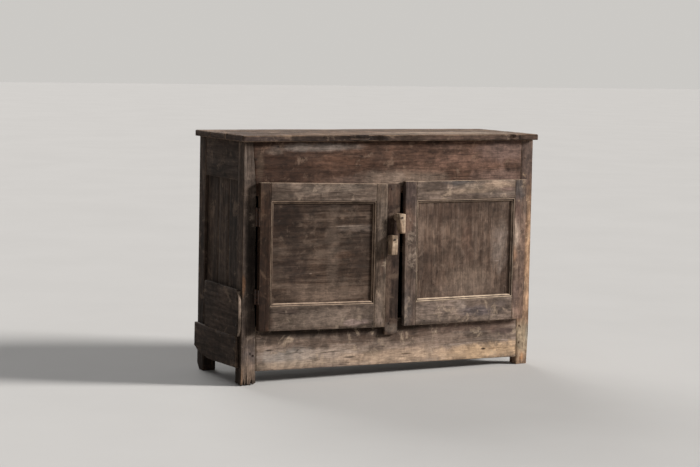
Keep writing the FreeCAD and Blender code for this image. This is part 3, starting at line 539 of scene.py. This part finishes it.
def fasteners(name, node, carrier, places, way, radius, slot=0.0):
    """Heads on a node's visible surface, met by a ray at each place, as one piece that rides with it."""
    tree = BVHTree.FromPolygons([vert.co for vert in carrier.vertices],
                                [face.vertices[:] for face in carrier.polygons])
    whole = bmesh.new()
    chance = random.Random(name)
    for place in places:
        seat = tree.ray_cast(Vector(place) + Vector(way), -Vector(way))[0]
        if seat:
            seat = Vector([min(max(at, low + HEAD_ROOM), high - HEAD_ROOM)
                           for at, low, high in zip(seat, *CAD_BOX)])
            head(whole, seat, way, radius * chance.uniform(*HEAD_SPREAD), slot, chance)
    mesh = made_mesh(name, whole)
    mesh.materials.append(nail_look)
    piece = added(name, mesh)
    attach(piece, BODY[node])


def boards(name, dark, middle, pale, **rest):
    """The same wood with its grain along each of the three axes."""
    return [wood("%s_%s" % (name, "xyz"[axis]), axis, dark, middle, pale, **rest) for axis in (X, Y, Z)]


def front(x, z, wide, high, colour, strength=0.8, level=FRONT, ragged=1.6):
    """A mark on the front, placed from the photograph."""
    return (x, level, z), (wide, MARK_DEPTH, high), colour, strength, ragged


def door(x, z, wide, high, colour, strength=0.8, ragged=1.6):
    return front(x, z, wide, high, colour, strength, DOOR_FRONT, ragged)


def panel(x, z, wide, high, colour, strength=0.8, ragged=1.6):
    return front(x, z, wide, high, colour, strength, PANEL_FRONT, ragged)


def planks(x, y, wide, deep, colour, strength=0.8, ragged=1.0):
    """A mark on the upper face of the top."""
    return (x, y, TOP), (wide, deep, 0.006), colour, strength, ragged


def rim(x, wide, colour, strength=0.8, ragged=0.9, z=0.846, high=0.02):
    """A mark on the front edge of the top."""
    return (x, RIM_FRONT, z), (wide, 2 * MARK_DEPTH, high), colour, strength, ragged


# The woods, each with its dark, middle and pale tone, and the marks that the photograph shows on it
# The woods on the right are paler than those on the left: partly their own tones and partly a painted fall of
# light from the lamp on the right.
frieze_wood = wood("frieze_wood", X, (52, 36, 28), (82, 60, 48), (108, 83, 69),
                   worn=(128, 106, 90), marks=[
    front(-0.46, 0.730, 0.20, 0.090, (52, 35, 26), 0.8),
    front(0.35, 0.765, 0.24, 0.040, (130, 99, 84), 0.5),
    front(0.46, 0.800, 0.14, 0.050, (120, 100, 93), 0.5),
    front(-0.522, 0.760, 0.018, 0.070, (84, 70, 58), 0.45),
    front(-0.20, 0.760, 0.16, 0.030, (90, 64, 50), 0.5),
    front(-0.31, 0.817, 0.20, 0.018, (118, 106, 98), 0.9, ragged=1.2),
    front(-0.47, 0.804, 0.05, 0.012, (100, 86, 76), 0.7),
    front(-0.443, 0.819, 0.026, 0.006, (22, 15, 11), 0.95, ragged=0.6),
    front(0.04, 0.700, 0.20, 0.040, (136, 118, 104), 0.75, ragged=1.2),
    front(-0.22, 0.668, 0.20, 0.020, (108, 96, 88), 0.6),
    front(0.30, 0.672, 0.20, 0.016, (122, 98, 84), 0.5),
    front(0.44, 0.700, 0.12, 0.034, (138, 112, 100), 0.6),
    front(0.12, 0.738, 0.12, 0.024, (122, 94, 79), 0.5),
    front(0.22, 0.815, 0.08, 0.014, (112, 88, 76), 0.5),
    front(-0.19, 0.694, 0.10, 0.024, (110, 92, 82), 0.5)])
apron_wood = wood("apron_wood", X, (94, 77, 66), (130, 112, 99), (160, 143, 130), worn=(176, 155, 132),
                  patchy=0.55, marks=[
    front(-0.40, 0.094, 0.14, 0.034, (142, 134, 126), 0.65),
    # Partly a stain and partly painted shade: the doors' shade along the apron's top.
    front(-0.30, 0.180, 0.40, 0.032, (44, 34, 27), 0.95, ragged=1.2),
    front(-0.46, 0.152, 0.09, 0.022, (56, 44, 36), 0.75),
    front(-0.15, 0.138, 0.14, 0.022, (72, 56, 46), 0.6),
    front(-0.24, 0.092, 0.18, 0.024, (168, 150, 135), 0.65),
    # Partly a stain and partly painted shade: the doors' shade along the apron's top.
    front(-0.02, 0.172, 0.30, 0.044, (46, 34, 27), 0.9, ragged=1.2),
    front(0.10, 0.140, 0.20, 0.018, (84, 66, 55), 0.6),
    front(0.36, 0.162, 0.24, 0.032, (94, 74, 64), 0.75),
    front(0.20, 0.116, 0.12, 0.024, (140, 120, 106), 0.6),
    front(0.50, 0.130, 0.06, 0.014, (84, 68, 64), 0.6),
    front(0.42, 0.058, 0.28, 0.034, (204, 172, 138), 0.8, ragged=1.8),
    front(0.05, 0.064, 0.28, 0.034, (184, 158, 134), 0.7, ragged=1.8),
    front(-0.36, 0.062, 0.22, 0.018, (166, 146, 126), 0.6, ragged=1.8),
    front(0.402, 0.068, 0.013, 0.0045, (40, 25, 16), 0.95, ragged=0.5),
    front(0.440, 0.068, 0.026, 0.0025, (92, 62, 42), 0.6),
    front(-0.474, 0.118, 0.020, 0.003, (40, 30, 24), 0.9),
    front(-0.16, 0.074, 0.022, 0.0025, (40, 30, 24), 0.9),
    front(0.073, 0.071, 0.030, 0.0022, (70, 48, 34), 0.8)])
left_post_wood = wood("left_post_wood", Z, (46, 36, 31), (69, 57, 49), (96, 83, 74),
                      worn=(132, 116, 103), marks=[
    # Painted shadow: the left door's shadow down the post's right part.
    front(-0.553, 0.460, 0.032, 0.205, (25, 19, 15), 0.9, ragged=0.8),
    front(-0.579, 0.345, 0.009, 0.045, (112, 82, 60), 0.7),
    front(-0.553, 0.090, 0.030, 0.060, (108, 95, 89), 0.7),
    front(-0.560, 0.050, 0.040, 0.050, (130, 110, 94), 0.7),
    front(-0.581, 0.035, 0.005, 0.040, (140, 108, 82), 0.5),
    front(-0.562, 0.040, 0.0022, 0.040, (60, 46, 37), 0.7, ragged=0.6),
    front(-0.548, 0.030, 0.0018, 0.030, (66, 50, 40), 0.7, ragged=0.6),
    front(-0.568, 0.050, 0.0015, 0.040, (60, 46, 38), 0.8, ragged=0.6),
    front(-0.550, 0.110, 0.004, 0.006, (24, 18, 14), 0.9, ragged=0.6),
    front(-0.539, 0.779, 0.0018, 0.050, (36, 28, 22), 0.8, ragged=0.6),
    front(-0.578, 0.760, 0.007, 0.080, (122, 108, 98), 0.6)])
right_post_wood = wood("right_post_wood", Z, (98, 72, 56), (132, 104, 84), (166, 138, 114),
                       worn=(198, 168, 138), marks=[
    front(0.560, 0.760, 0.060, 0.150, (84, 69, 63), 0.9, ragged=1.2),
    front(0.570, 0.085, 0.050, 0.090, (164, 146, 122), 0.8),
    front(0.588, 0.400, 0.012, 0.250, (190, 154, 122), 0.7),
    front(0.592, 0.115, 0.006, 0.040, (134, 142, 134), 0.3),
    front(0.572, 0.030, 0.014, 0.024, (160, 110, 70), 0.6),
    front(0.575, 0.070, 0.0016, 0.016, (60, 42, 32), 0.8, ragged=0.6),
    front(0.566, 0.040, 0.0014, 0.020, (70, 48, 36), 0.8, ragged=0.6),
    front(0.562, 0.140, 0.0026, 0.0034, (36, 25, 20), 0.9, ragged=0.4)])
stile_wood = wood("stile_wood", Z, (40, 29, 24), (56, 42, 35), (78, 62, 52), worn=(104, 86, 72), marks=[
    front(0.0, 0.640, 0.040, 0.040, (88, 68, 56), 0.6, STILE_FRONT),
    # Painted light: a paler band down the stile's left part, beside the right door's shadow.
    front(-0.020, 0.330, 0.016, 0.150, (104, 85, 72), 0.6, STILE_FRONT),
    front(0.0, 0.170, 0.040, 0.026, (110, 98, 88), 0.7, STILE_FRONT)])
left_hinge_wood = wood("left_hinge_wood", Z, (34, 22, 15), (50, 34, 24), (70, 50, 37),
                       worn=(92, 73, 58), wear=0.6, marks=[
    door(-0.52, 0.680, 0.03, 0.030, (76, 60, 50), 0.5)])
left_rail_wood = wood("left_rail_wood", X, (66, 54, 46), (90, 76, 66), (120, 104, 92),
                      worn=(152, 134, 117), marks=[
    door(-0.25, 0.222, 0.20, 0.036, (124, 108, 96), 0.7),
    door(-0.500, 0.690, 0.040, 0.030, (66, 52, 43), 0.75),
    door(-0.440, 0.655, 0.060, 0.018, (76, 64, 55), 0.6),
    door(-0.30, 0.672, 0.10, 0.018, (114, 100, 89), 0.6),
    door(-0.19, 0.680, 0.07, 0.022, (126, 112, 100), 0.5),
    door(-0.30, 0.648, 0.003, 0.016, (60, 48, 40), 0.6, 0.5),
    door(-0.250, 0.660, 0.030, 0.003, (56, 44, 36), 0.8, 0.6),
    door(-0.400, 0.225, 0.10, 0.020, (96, 82, 71), 0.5),
    door(-0.419, 0.252, 0.050, 0.010, (78, 64, 57), 0.7),
    door(-0.154, 0.202, 0.070, 0.014, (146, 126, 118), 0.7),
    door(-0.180, 0.228, 0.012, 0.018, (84, 70, 61), 0.6),
    door(-0.500, 0.222, 0.030, 0.026, (74, 56, 46), 0.6)])
left_meeting_wood = wood("left_meeting_wood", Z, (72, 57, 47), (98, 83, 71), (128, 111, 98),
                         worn=(166, 146, 126), marks=[
    door(-0.053, 0.660, 0.030, 0.046, (82, 67, 56), 0.7),
    door(-0.058, 0.245, 0.018, 0.080, (126, 110, 98), 0.55),
    door(-0.050, 0.400, 0.012, 0.060, (74, 54, 44), 0.5),
    door(-0.055, 0.200, 0.020, 0.016, (124, 108, 98), 0.5)])
left_panel_wood = wood("left_panel_wood", X, (38, 27, 20), (68, 53, 43), (100, 84, 72), patchy=0.85, marks=[
    panel(-0.430, 0.560, 0.100, 0.090, (38, 27, 21), 0.8),
    panel(-0.245, 0.480, 0.030, 0.180, (106, 90, 78), 0.45, 2.2),
    panel(-0.150, 0.533, 0.110, 0.016, (114, 100, 90), 0.6),
    panel(-0.190, 0.541, 0.070, 0.0024, (140, 124, 111), 0.75, 0.8),
    panel(-0.370, 0.475, 0.070, 0.060, (46, 35, 28), 0.55),
    panel(-0.250, 0.536, 0.055, 0.0016, (20, 14, 10), 0.95, 0.5),
    panel(-0.210, 0.569, 0.009, 0.006, (112, 94, 80), 0.7),
    panel(-0.140, 0.450, 0.050, 0.090, (54, 41, 33), 0.65),
    panel(-0.200, 0.440, 0.045, 0.014, (104, 78, 62), 0.3),
    panel(-0.400, 0.400, 0.080, 0.070, (52, 40, 34), 0.65),
    panel(-0.330, 0.380, 0.008, 0.003, (130, 112, 98), 0.8),
    panel(-0.270, 0.308, 0.200, 0.034, (112, 94, 81), 0.7)])
right_rail_wood = wood("right_rail_wood", X, (80, 66, 57), (113, 97, 86), (148, 130, 117),
                       worn=(178, 156, 134), marks=[
    door(0.265, 0.686, 0.080, 0.017, (70, 65, 63), 0.85, 1.2),
    door(0.145, 0.672, 0.080, 0.026, (74, 62, 54), 0.8),
    door(0.315, 0.668, 0.065, 0.020, (146, 128, 112), 0.6),
    door(0.370, 0.203, 0.120, 0.010, (84, 72, 68), 0.6),
    door(0.430, 0.676, 0.080, 0.022, (164, 140, 120), 0.75),
    door(0.470, 0.660, 0.040, 0.010, (108, 86, 80), 0.6),
    door(0.300, 0.655, 0.150, 0.010, (144, 124, 106), 0.6),
    door(0.355, 0.216, 0.100, 0.022, (98, 88, 88), 0.65),
    door(0.280, 0.236, 0.030, 0.018, (146, 130, 118), 0.65),
    door(0.180, 0.236, 0.110, 0.024, (132, 115, 104), 0.6),
    door(0.450, 0.236, 0.040, 0.014, (132, 116, 108), 0.5)])
right_left_stile_wood = wood("right_left_stile_wood", Z, (60, 48, 41), (86, 71, 62), (114, 97, 86),
                             worn=(156, 138, 122), marks=[
    door(0.055, 0.650, 0.050, 0.070, (66, 54, 50), 0.85),
    door(0.050, 0.553, 0.030, 0.060, (108, 82, 68), 0.5),
    door(0.045, 0.420, 0.030, 0.080, (104, 88, 76), 0.5),
    door(0.050, 0.230, 0.030, 0.090, (110, 100, 94), 0.6)])
right_right_stile_wood = wood("right_right_stile_wood", Z, (88, 67, 55), (126, 102, 88), (160, 137, 120),
                              worn=(176, 152, 128), marks=[
    door(0.520, 0.655, 0.030, 0.060, (84, 77, 74), 0.85, 1.2),
    door(0.514, 0.490, 0.020, 0.070, (182, 160, 142), 0.8),
    door(0.520, 0.580, 0.016, 0.060, (104, 80, 72), 0.6),
    door(0.505, 0.420, 0.020, 0.040, (154, 116, 88), 0.5),
    door(0.481, 0.238, 0.003, 0.010, (26, 18, 14), 0.95, 0.6),
    door(0.510, 0.260, 0.030, 0.070, (112, 92, 84), 0.6)])
right_panel_wood = wood("right_panel_wood", Z, (70, 54, 45), (94, 76, 64), (120, 101, 88), patchy=0.75,
                        marks=[
    panel(0.225, 0.580, 0.140, 0.050, (66, 50, 41), 0.65),
    panel(0.305, 0.470, 0.024, 0.090, (112, 84, 70), 0.35),
    panel(0.320, 0.330, 0.120, 0.060, (124, 106, 92), 0.55),
    panel(0.450, 0.450, 0.040, 0.110, (132, 117, 107), 0.6),
    panel(0.140, 0.400, 0.030, 0.090, (78, 61, 51), 0.5),
    panel(0.440, 0.395, 0.012, 0.003, (150, 134, 122), 0.7),
    panel(0.452, 0.450, 0.003, 0.030, (146, 130, 118), 0.6),
    panel(0.300, 0.300, 0.170, 0.034, (122, 104, 91), 0.5)])
left_mould_wood = boards("left_mould_wood", (50, 37, 28), (72, 56, 44), (98, 81, 68),
                         worn=(140, 120, 103), wear=0.85)
# The moulding's bottom strip: paler wood as a painted highlight on the strip that faces up.
left_mould_wood.append(wood("left_low_mould_highlight_wood", X, (86, 70, 59), (116, 98, 85), (144, 125, 110),
                            worn=(182, 158, 136), wear=0.95))
right_mould_wood = boards("right_mould_wood", (68, 54, 44), (94, 77, 65), (124, 105, 90),
                          worn=(168, 147, 128), wear=0.95)
# The moulding's bottom strip: paler wood as a painted highlight on the strip that faces up.
right_mould_wood.append(wood("right_low_mould_highlight_wood", X, (112, 95, 81), (142, 123, 107), (170, 151, 132),
                             worn=(216, 192, 166), wear=0.95))
top_wood = wood("top_plank_wood", X, (78, 59, 46), (120, 97, 80), (164, 142, 122), worn=(150, 126, 104),
                wear=0.5, cracks=0.95, dirt=0.5, marks=[
    planks(-0.53, -0.04, 0.12, 0.20, (72, 58, 48), 0.8, 1.8),
    planks(0.30, -0.05, 0.34, 0.09, (172, 152, 134), 0.65, 1.8),
    planks(-0.25, -0.10, 0.25, 0.05, (138, 110, 85), 0.5, 1.8),
    planks(-0.42, -0.11, 0.14, 0.07, (92, 70, 54), 0.75, 1.8),
    planks(-0.38, 0.07, 0.24, 0.15, (78, 60, 47), 0.75, 1.8),
    planks(-0.36, -0.135, 0.20, 0.005, (66, 48, 37), 0.8, 0.8),
    planks(-0.18, -0.060, 0.16, 0.006, (72, 54, 42), 0.7, 0.8),
    planks(-0.05, 0.125, 0.42, 0.014, (44, 32, 25), 0.9),
    planks(0.30, 0.030, 0.34, 0.009, (56, 42, 33), 0.8),
    planks(-0.28, 0.020, 0.22, 0.010, (56, 43, 34), 0.8),
    planks(-0.36, -0.08, 0.16, 0.008, (62, 48, 38), 0.7),
    planks(0.10, -0.110, 0.26, 0.004, (84, 66, 54), 0.6),
    planks(0.0, 0.210, 0.70, 0.012, (74, 58, 48), 0.7)])
top_rim_wood = wood("top_rim_wood", X, (44, 32, 26), (78, 61, 51), (112, 92, 79),
                    worn=(128, 108, 92), wear=0.6, cracks=0.9, marks=[
    rim(-0.52, 0.09, (72, 60, 55), 0.85),
    rim(-0.35, 0.14, (50, 39, 33), 0.85),
    rim(-0.14, 0.15, (34, 25, 20), 0.9),
    rim(0.10, 0.12, (70, 54, 45), 0.6),
    rim(0.30, 0.16, (88, 69, 59), 0.6),
    rim(0.482, 0.012, (44, 33, 26), 0.7, 0.9, 0.842, 0.008),
    rim(0.520, 0.005, (34, 25, 20), 0.8, 0.6),
    # Painted shade: a dark line along the lower arris of the top's front edge, under the top.
    rim(0, 9, (34, 26, 21), 0.8, 0.8, 0.8385, 0.0035)])
side_wood = boards("left_side_wood", (44, 35, 29), (62, 50, 42), (84, 69, 58), worn=(112, 94, 80), wear=0.6)
# The broken front end of the left side's lower board: paler wood as a painted highlight.
painted_highlight_end = wood("pale_end_wood", Z, (104, 88, 76), (136, 118, 104), (160, 142, 126), worn=(172, 152, 134))
# The doors' upward faces: paler wood as a painted highlight from the light above.
door_tops_painted_highlight_wood = wood("door_tops_painted_highlight_wood", X, (128, 108, 92), (158, 136, 117), (180, 158, 138),
                  worn=(186, 164, 142), dirt=0.3)
end_wood = wood("end_grain_wood", Y, (40, 31, 25), (62, 49, 41), (86, 70, 59),
                worn=(118, 98, 84), cracks=0.8)
right_side_wood = boards("right_side_wood", (58, 42, 34), (82, 62, 51), (106, 84, 70), worn=(136, 114, 96))
back_wood = boards("back_wood", (62, 50, 42), (88, 73, 62), (114, 97, 84), worn=(132, 114, 98))
inner_wood = boards("inner_wood", (84, 66, 52), (112, 90, 72), (136, 112, 91),
                    worn=(140, 118, 98), dirt=0.55)
button_wood = wood("button_plain_wood", Z, (128, 104, 84), (162, 138, 116), (186, 164, 142),
                   worn=(196, 176, 152), dirt=0.25, cracks=0.6)
peg_wood = wood("peg_wood", Y, (34, 25, 20), (48, 37, 30), (64, 50, 42),
                marks=[front(0.56, 0.4, 0.06, 0.6, (98, 76, 60), 0.8, ragged=0.2)])
iron_look = iron("rusty_iron", (36, 30, 27), (76, 52, 39))
nail_look = iron("nail_iron", (20, 16, 14), (50, 31, 21))

# The foot of the front left post: how high it is splintered, how far up its teeth go, and how deep the
# split is that runs up its front, before this place along Y
FOOT_SPLINTERED = 0.06
FOOT_TEETH = 0.014
FOOT_SPLIT = 0.004
FOOT_FRONT = -0.15

# The front edge of the top: where it is behind the tears, how deep it is, and its tears, each with its
# middle along X, half its length and its depth
EDGE_BACK = -0.165
EDGE_DEPTH = 0.0206
EDGE_WAVE = 0.0035
TEARS = ((-0.20, 0.060, 0.006), (-0.10, 0.045, 0.008), (0.02, 0.070, 0.004),
         (0.475, 0.014, 0.006), (0.515, 0.008, 0.004), (-0.40, 0.080, 0.003))

# The broken end of the upper of the two boards nailed over the left side's foot: where it starts along Y,
# over what length, its depth at the corners and at most, and the board's middle and half height along Z
BREAK_START = -0.110
BREAK_REACH = 0.02
BREAK_CORNER = 0.008
BREAK_DEPTH = 0.009
BOARD_MIDDLE = 0.245
BOARD_HALF = 0.075


def ragged_foot(point):
    """The splintered end of the front left foot, and the split up its front."""
    if point.z < FOOT_SPLINTERED:
        low = 1 - point.z / FOOT_SPLINTERED
        teeth = 0.5 + 0.5 * noise.noise(Vector((point.x * 170, point.y * 60, 3.7)))
        groove = 0.5 + 0.5 * noise.noise(Vector((point.x * 230, 4.2, point.z * 12)))
        back = FOOT_SPLIT * low * groove ** 2 if point.y < FOOT_FRONT else 0.0
        return Vector((point.x, point.y + back, point.z + FOOT_TEETH * low * teeth ** 2))
    return point


def torn_front(point):
    """The front edge of the top, split away between the doors and broken near its right end."""
    if point.y > EDGE_BACK:
        return point
    near = (EDGE_BACK - point.y) / EDGE_DEPTH
    torn = 0.0
    for middle, half, depth in TEARS:
        torn += depth * max(0.0, 1 - ((point.x - middle) / half) ** 2)
    torn *= 0.6 + 0.8 * rough_noise(point, Vector((5, 9, 2)), (90, 40, 120))
    wave = EDGE_WAVE * (1 + noise.noise(Vector((point.x * 6, 0.3, 1.1)))) / 2
    return Vector((point.x, point.y + near * (torn + wave), point.z))


def broken_end(point):
    """The broken front end of a side board, hollowed towards its corners."""
    if point.y < BREAK_START:
        near = max(0.0, min(1.0, (BREAK_START - point.y) / BREAK_REACH))
        away = abs(point.z - BOARD_MIDDLE) / BOARD_HALF
        return Vector((point.x, point.y + near * min(BREAK_DEPTH, BREAK_CORNER * away ** 4), point.z))
    return point


# The wood of each node, or of each node whose name starts so
WOODS = {
    "frieze": [frieze_wood], "apron": [apron_wood], "front_left_post": [left_post_wood],
    "front_right_post": [right_post_wood], "back_left_post": side_wood, "back_right_post": right_side_wood,
    "centre_stile": [stile_wood], "left_door_hinge_stile": [left_hinge_wood],
    "left_door_meeting_stile": [left_meeting_wood], "left_door_bottom_rail": [left_rail_wood],
    "left_door_top_rail": [left_rail_wood], "left_door_panel": [left_panel_wood],
    "left_door_moulding": left_mould_wood, "right_door_hinge_stile": [right_right_stile_wood],
    "right_door_meeting_stile": [right_left_stile_wood], "right_door_bottom_rail": [right_rail_wood],
    "right_door_top_rail": [right_rail_wood], "right_door_panel": [right_panel_wood],
    "right_door_moulding": right_mould_wood, "left_turn_button": [button_wood],
    "right_turn_button": [button_wood], "button_washers": [button_wood], "frame_pegs": [peg_wood],
}
STARTS = {"top_": [top_wood], "left_side": side_wood, "right_side": right_side_wood, "back_": back_wood,
          "floor_": inner_wood, "shelf_": inner_wood}

# How the nodes are worn, where it isn't the plain way
ENDS = [(TO_LEFT, end_wood), (TO_RIGHT, end_wood)]
BUTTON = {"step": 0.006, "across": 0.006, "arris": 0.0008, "relief": 0.0008}
INNER_PLANK = {"relief": 0.0012, "chew": 0.002, "faces": ENDS}
FORMS = {
    "frieze": {"chew": 0.0012}, "apron": {"chew": 0.0025, "arris": 0.0024},
    "front_left_post": {"step": 0.007, "across": 0.010, "chew": 0.0035, "arris": 0.0024, "relief": 0.0012,
                        "carve": ragged_foot, "close": (X, 0.0026, lambda point: point.z < 0.075),
                        "faces": [(TO_LEFT, side_wood[Z])]},
    "front_right_post": {"chew": 0.0020, "arris": 0.0022, "relief": 0.0010},
    "top_front_plank": {"step": 0.009, "across": 0.009, "arris": 0.003, "chew": 0.003, "relief": 0.0012,
                        "carve": torn_front, "faces": [(TO_FRONT, top_rim_wood)] + ENDS},
    "top_middle_plank": INNER_PLANK, "top_back_plank": INNER_PLANK,
    "left_side_base_board": {"chew": 0.004, "arris": 0.003},
    # Its front end takes the paler wood of a painted highlight.
    "left_side_lower_board": {"chew": 0.003, "step": 0.010, "carve": broken_end,
                              "faces": [(TO_FRONT, painted_highlight_end)]},
    "left_turn_button": BUTTON, "right_turn_button": BUTTON,
    "button_washers": {"step": 0.01, "across": 0.05, "arris": 0.0005, "relief": 0.0002, "chew": 0.0003},
    "frame_pegs": {"step": 0.05, "across": 0.05, "arris": 0.0005, "relief": 0.0003, "chew": 0.0004},
    "left_door_panel": {"grain": X}, "right_door_panel": {"grain": Z},
}
# The doors' rails and stiles take the painted highlight on their upward faces.
for side in ("left", "right"):
    for piece in ("top_rail", "hinge_stile", "meeting_stile"):
        FORMS["%s_door_%s" % (side, piece)] = {"faces": [(UP, door_tops_painted_highlight_wood)]}
# The cuts of pieces inside the case
HIDDEN = {"step": 0.03, "across": 0.05}

WORN = {}
for node in sorted(frame["nodes"]):
    if SLOT[node] == "iron":
        data = frame["nodes"][node].data
        data.materials.clear()
        data.materials.append(iron_look)
    elif node.endswith("_moulding"):
        moulding(node, WOODS[node])
    else:
        found = [woods for start, woods in STARTS.items() if node.startswith(start)]
        plain = HIDDEN if SLOT[node] == "inner_wood" else {}
        WORN[node] = weathered(node, WOODS.get(node) or found[0], **FORMS.get(node, plain)).data

# The screws in the hinge leaves: the open side of each pair of leaves, and where the outer and the inner
# screws of a leaf are along X and Y
SCREWED = {
    "left_hinge_frame_leaves": (TO_RIGHT, (0, -0.146), (0, -0.152)),
    "left_hinge_door_leaves": (TO_LEFT, (0, -0.1762), (0, -0.1762)),
    "right_hinge_frame_leaves": (TO_FRONT, (0.5505, 0), (0.5495, 0)),
    "right_hinge_door_leaves": (TO_RIGHT, (0, -0.1762), (0, -0.1762)),
}
SCREW_HEIGHTS = (0.5570, 0.5805, 0.6040, 0.2890, 0.3070, 0.3250)
SCREW_RADIUS, SCREW_SLOT, NAIL_RADIUS = 0.0029, 0.0009, 0.0040
for node, (way, outer, inner) in SCREWED.items():
    places = [(*(inner if number % 3 == 1 else outer), height)
              for number, height in enumerate(SCREW_HEIGHTS)]
    fasteners("screws_" + node, node, frame["nodes"][node].data, places, way, SCREW_RADIUS, SCREW_SLOT)

# The nails: the open side of a board, the way it runs, the way across it, and what it is nailed to
NAILED = {
    "back_boards": (TO_BACK, Z, X, ("back_bottom_rail", "back_top_rail")),
    "left_side_lower_board": (TO_LEFT, Y, Z, ("front_left_post", "left_side_middle_board")),
    "left_side_base_board": (TO_LEFT, Y, Z, ("front_left_post", "back_left_post")),
}
# Where nails are across a board as shares of its width, and how far one may be off along it and, as a share
# again, across it
NAIL_SHARES = (0.2, 0.8)
NAIL_DRIFT = 0.004
NAIL_SIDEWAYS = 0.05
TOP_CARRIERS = ("left_side_top_rail", "right_side_top_rail", "top_left_cleat", "top_right_cleat")
for level, rows, carriers in (
        ("top", ("front", "middle", "back"), TOP_CARRIERS),
        ("floor", ("front", "middle", "back"), ("floor_left_bearer", "floor_right_bearer")),
        ("shelf", ("front", "back"), ("shelf_left_bearer", "shelf_right_bearer"))):
    for row in rows:
        NAILED["%s_%s_plank" % (level, row)] = (UP, X, Y, carriers)
for node, (way, run, across, carriers) in NAILED.items():
    chance = random.Random("nails in " + node)
    places = []
    for part in islands(frame["nodes"][node].data):
        low, high = [pick(vert.co[across] for vert in part.verts) for pick in (min, max)]
        part.free()
        for carrier in carriers:
            for share in NAIL_SHARES:
                place = Vector()
                middle = sum(corner[run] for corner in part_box(carrier)) / 2
                place[run] = middle + chance.uniform(-NAIL_DRIFT, NAIL_DRIFT)
                place[across] = low + (share + chance.uniform(-NAIL_SIDEWAYS, NAIL_SIDEWAYS)) * (high - low)
                places.append(place)
    fasteners("nails_" + node, node, WORN[node], places, way, NAIL_RADIUS)

# The floor, the light and the camera
floor_look = Shading("floor_look", 0.95, 0.05)
clouds = floor_look.cloud((1.3, 1.3, 1.3), 4, 0.6, at=floor_look.place)
floor_look.feed(floor_look.surface.inputs["Base Color"], floor_look.ramp(
    clouds, [(0.35, tone(192, 190, 187)), (0.65, tone(195, 193, 190))]))
sheet = bmesh.new()
bmesh.ops.create_grid(sheet, x_segments=8, y_segments=8, size=40)
floor = added("floor", made_mesh("floor", sheet))
floor.data.materials.append(floor_look.material)


def sun(name, angle, energy, place, colour=(1, 1, 1)):
    """A sun lamp of an angle in degrees, which shines from a place to the object's foot."""
    lamp = bpy.data.lights.new(name, "SUN")
    lamp.angle = math.radians(angle)
    lamp.energy = energy
    lamp.color = colour
    made = added(name, lamp)
    made.location = place
    made.rotation_euler = (Vector() - Vector(place)).to_track_quat("-Z", "Y").to_euler()


KEY_SIDE, KEY_RISE = math.radians(62), math.radians(23)
TO_KEY = Vector((math.sin(KEY_SIDE) * math.cos(KEY_RISE), -math.cos(KEY_SIDE) * math.cos(KEY_RISE),
                 math.sin(KEY_RISE)))
sun("key_light", 14, 5.8, 5 * TO_KEY, (1.0, 0.98, 0.96))
sun("rear_light", 40, 1.7, (0.2, 4, 2.2))

# The world lights the object with one grey, and shows a paler one to the camera and in reflections
AMBIENT, BACKDROP = (0.17, 0.17, 0.175, 1), (0.60, 0.585, 0.56, 1)
world = bpy.data.worlds.new("studio")
bpy.context.scene.world = world
world.use_nodes = True
sky = world.node_tree
path = sky.nodes.new("ShaderNodeLightPath")
seen = path.outputs["Is Camera Ray"]
for ray in ("Is Glossy Ray", "Is Transmission Ray"):
    either = sky.nodes.new("ShaderNodeMath")
    either.operation = "MAXIMUM"
    sky.links.new(seen, either.inputs[0])
    sky.links.new(path.outputs[ray], either.inputs[1])
    seen = either.outputs[0]
blend = sky.nodes.new("ShaderNodeMix")
blend.data_type = "RGBA"
sky.links.new(seen, blend.inputs[0])
blend.inputs[6].default_value = AMBIENT
blend.inputs[7].default_value = BACKDROP
sky.links.new(blend.outputs[2], sky.nodes["Background"].inputs["Color"])

# The camera, as fitted to the straight edges in the photograph
CAMERA_PLACE = (-3.12105, -5.5145, 1.1665)
YAW, PITCH, ROLL = math.radians(28.86101), math.radians(6.10038), math.radians(1.29927)
lens = bpy.data.cameras.new("camera")
lens.lens = 90.3
lens.sensor_width = 36
lens.clip_end = 100
camera = added("camera", lens)
ahead = Vector((math.sin(YAW) * math.cos(PITCH), math.cos(YAW) * math.cos(PITCH), -math.sin(PITCH)))
aside = Vector((math.cos(YAW), -math.sin(YAW), 0))
above = aside.cross(ahead)
right = math.cos(ROLL) * aside + math.sin(ROLL) * above
top = math.cos(ROLL) * above - math.sin(ROLL) * aside
camera.matrix_world = Matrix.Translation(CAMERA_PLACE) @ Matrix((right, top, -ahead)).transposed().to_4x4()
bpy.context.scene.camera = camera
bpy.context.scene.view_settings.view_transform = "Standard"
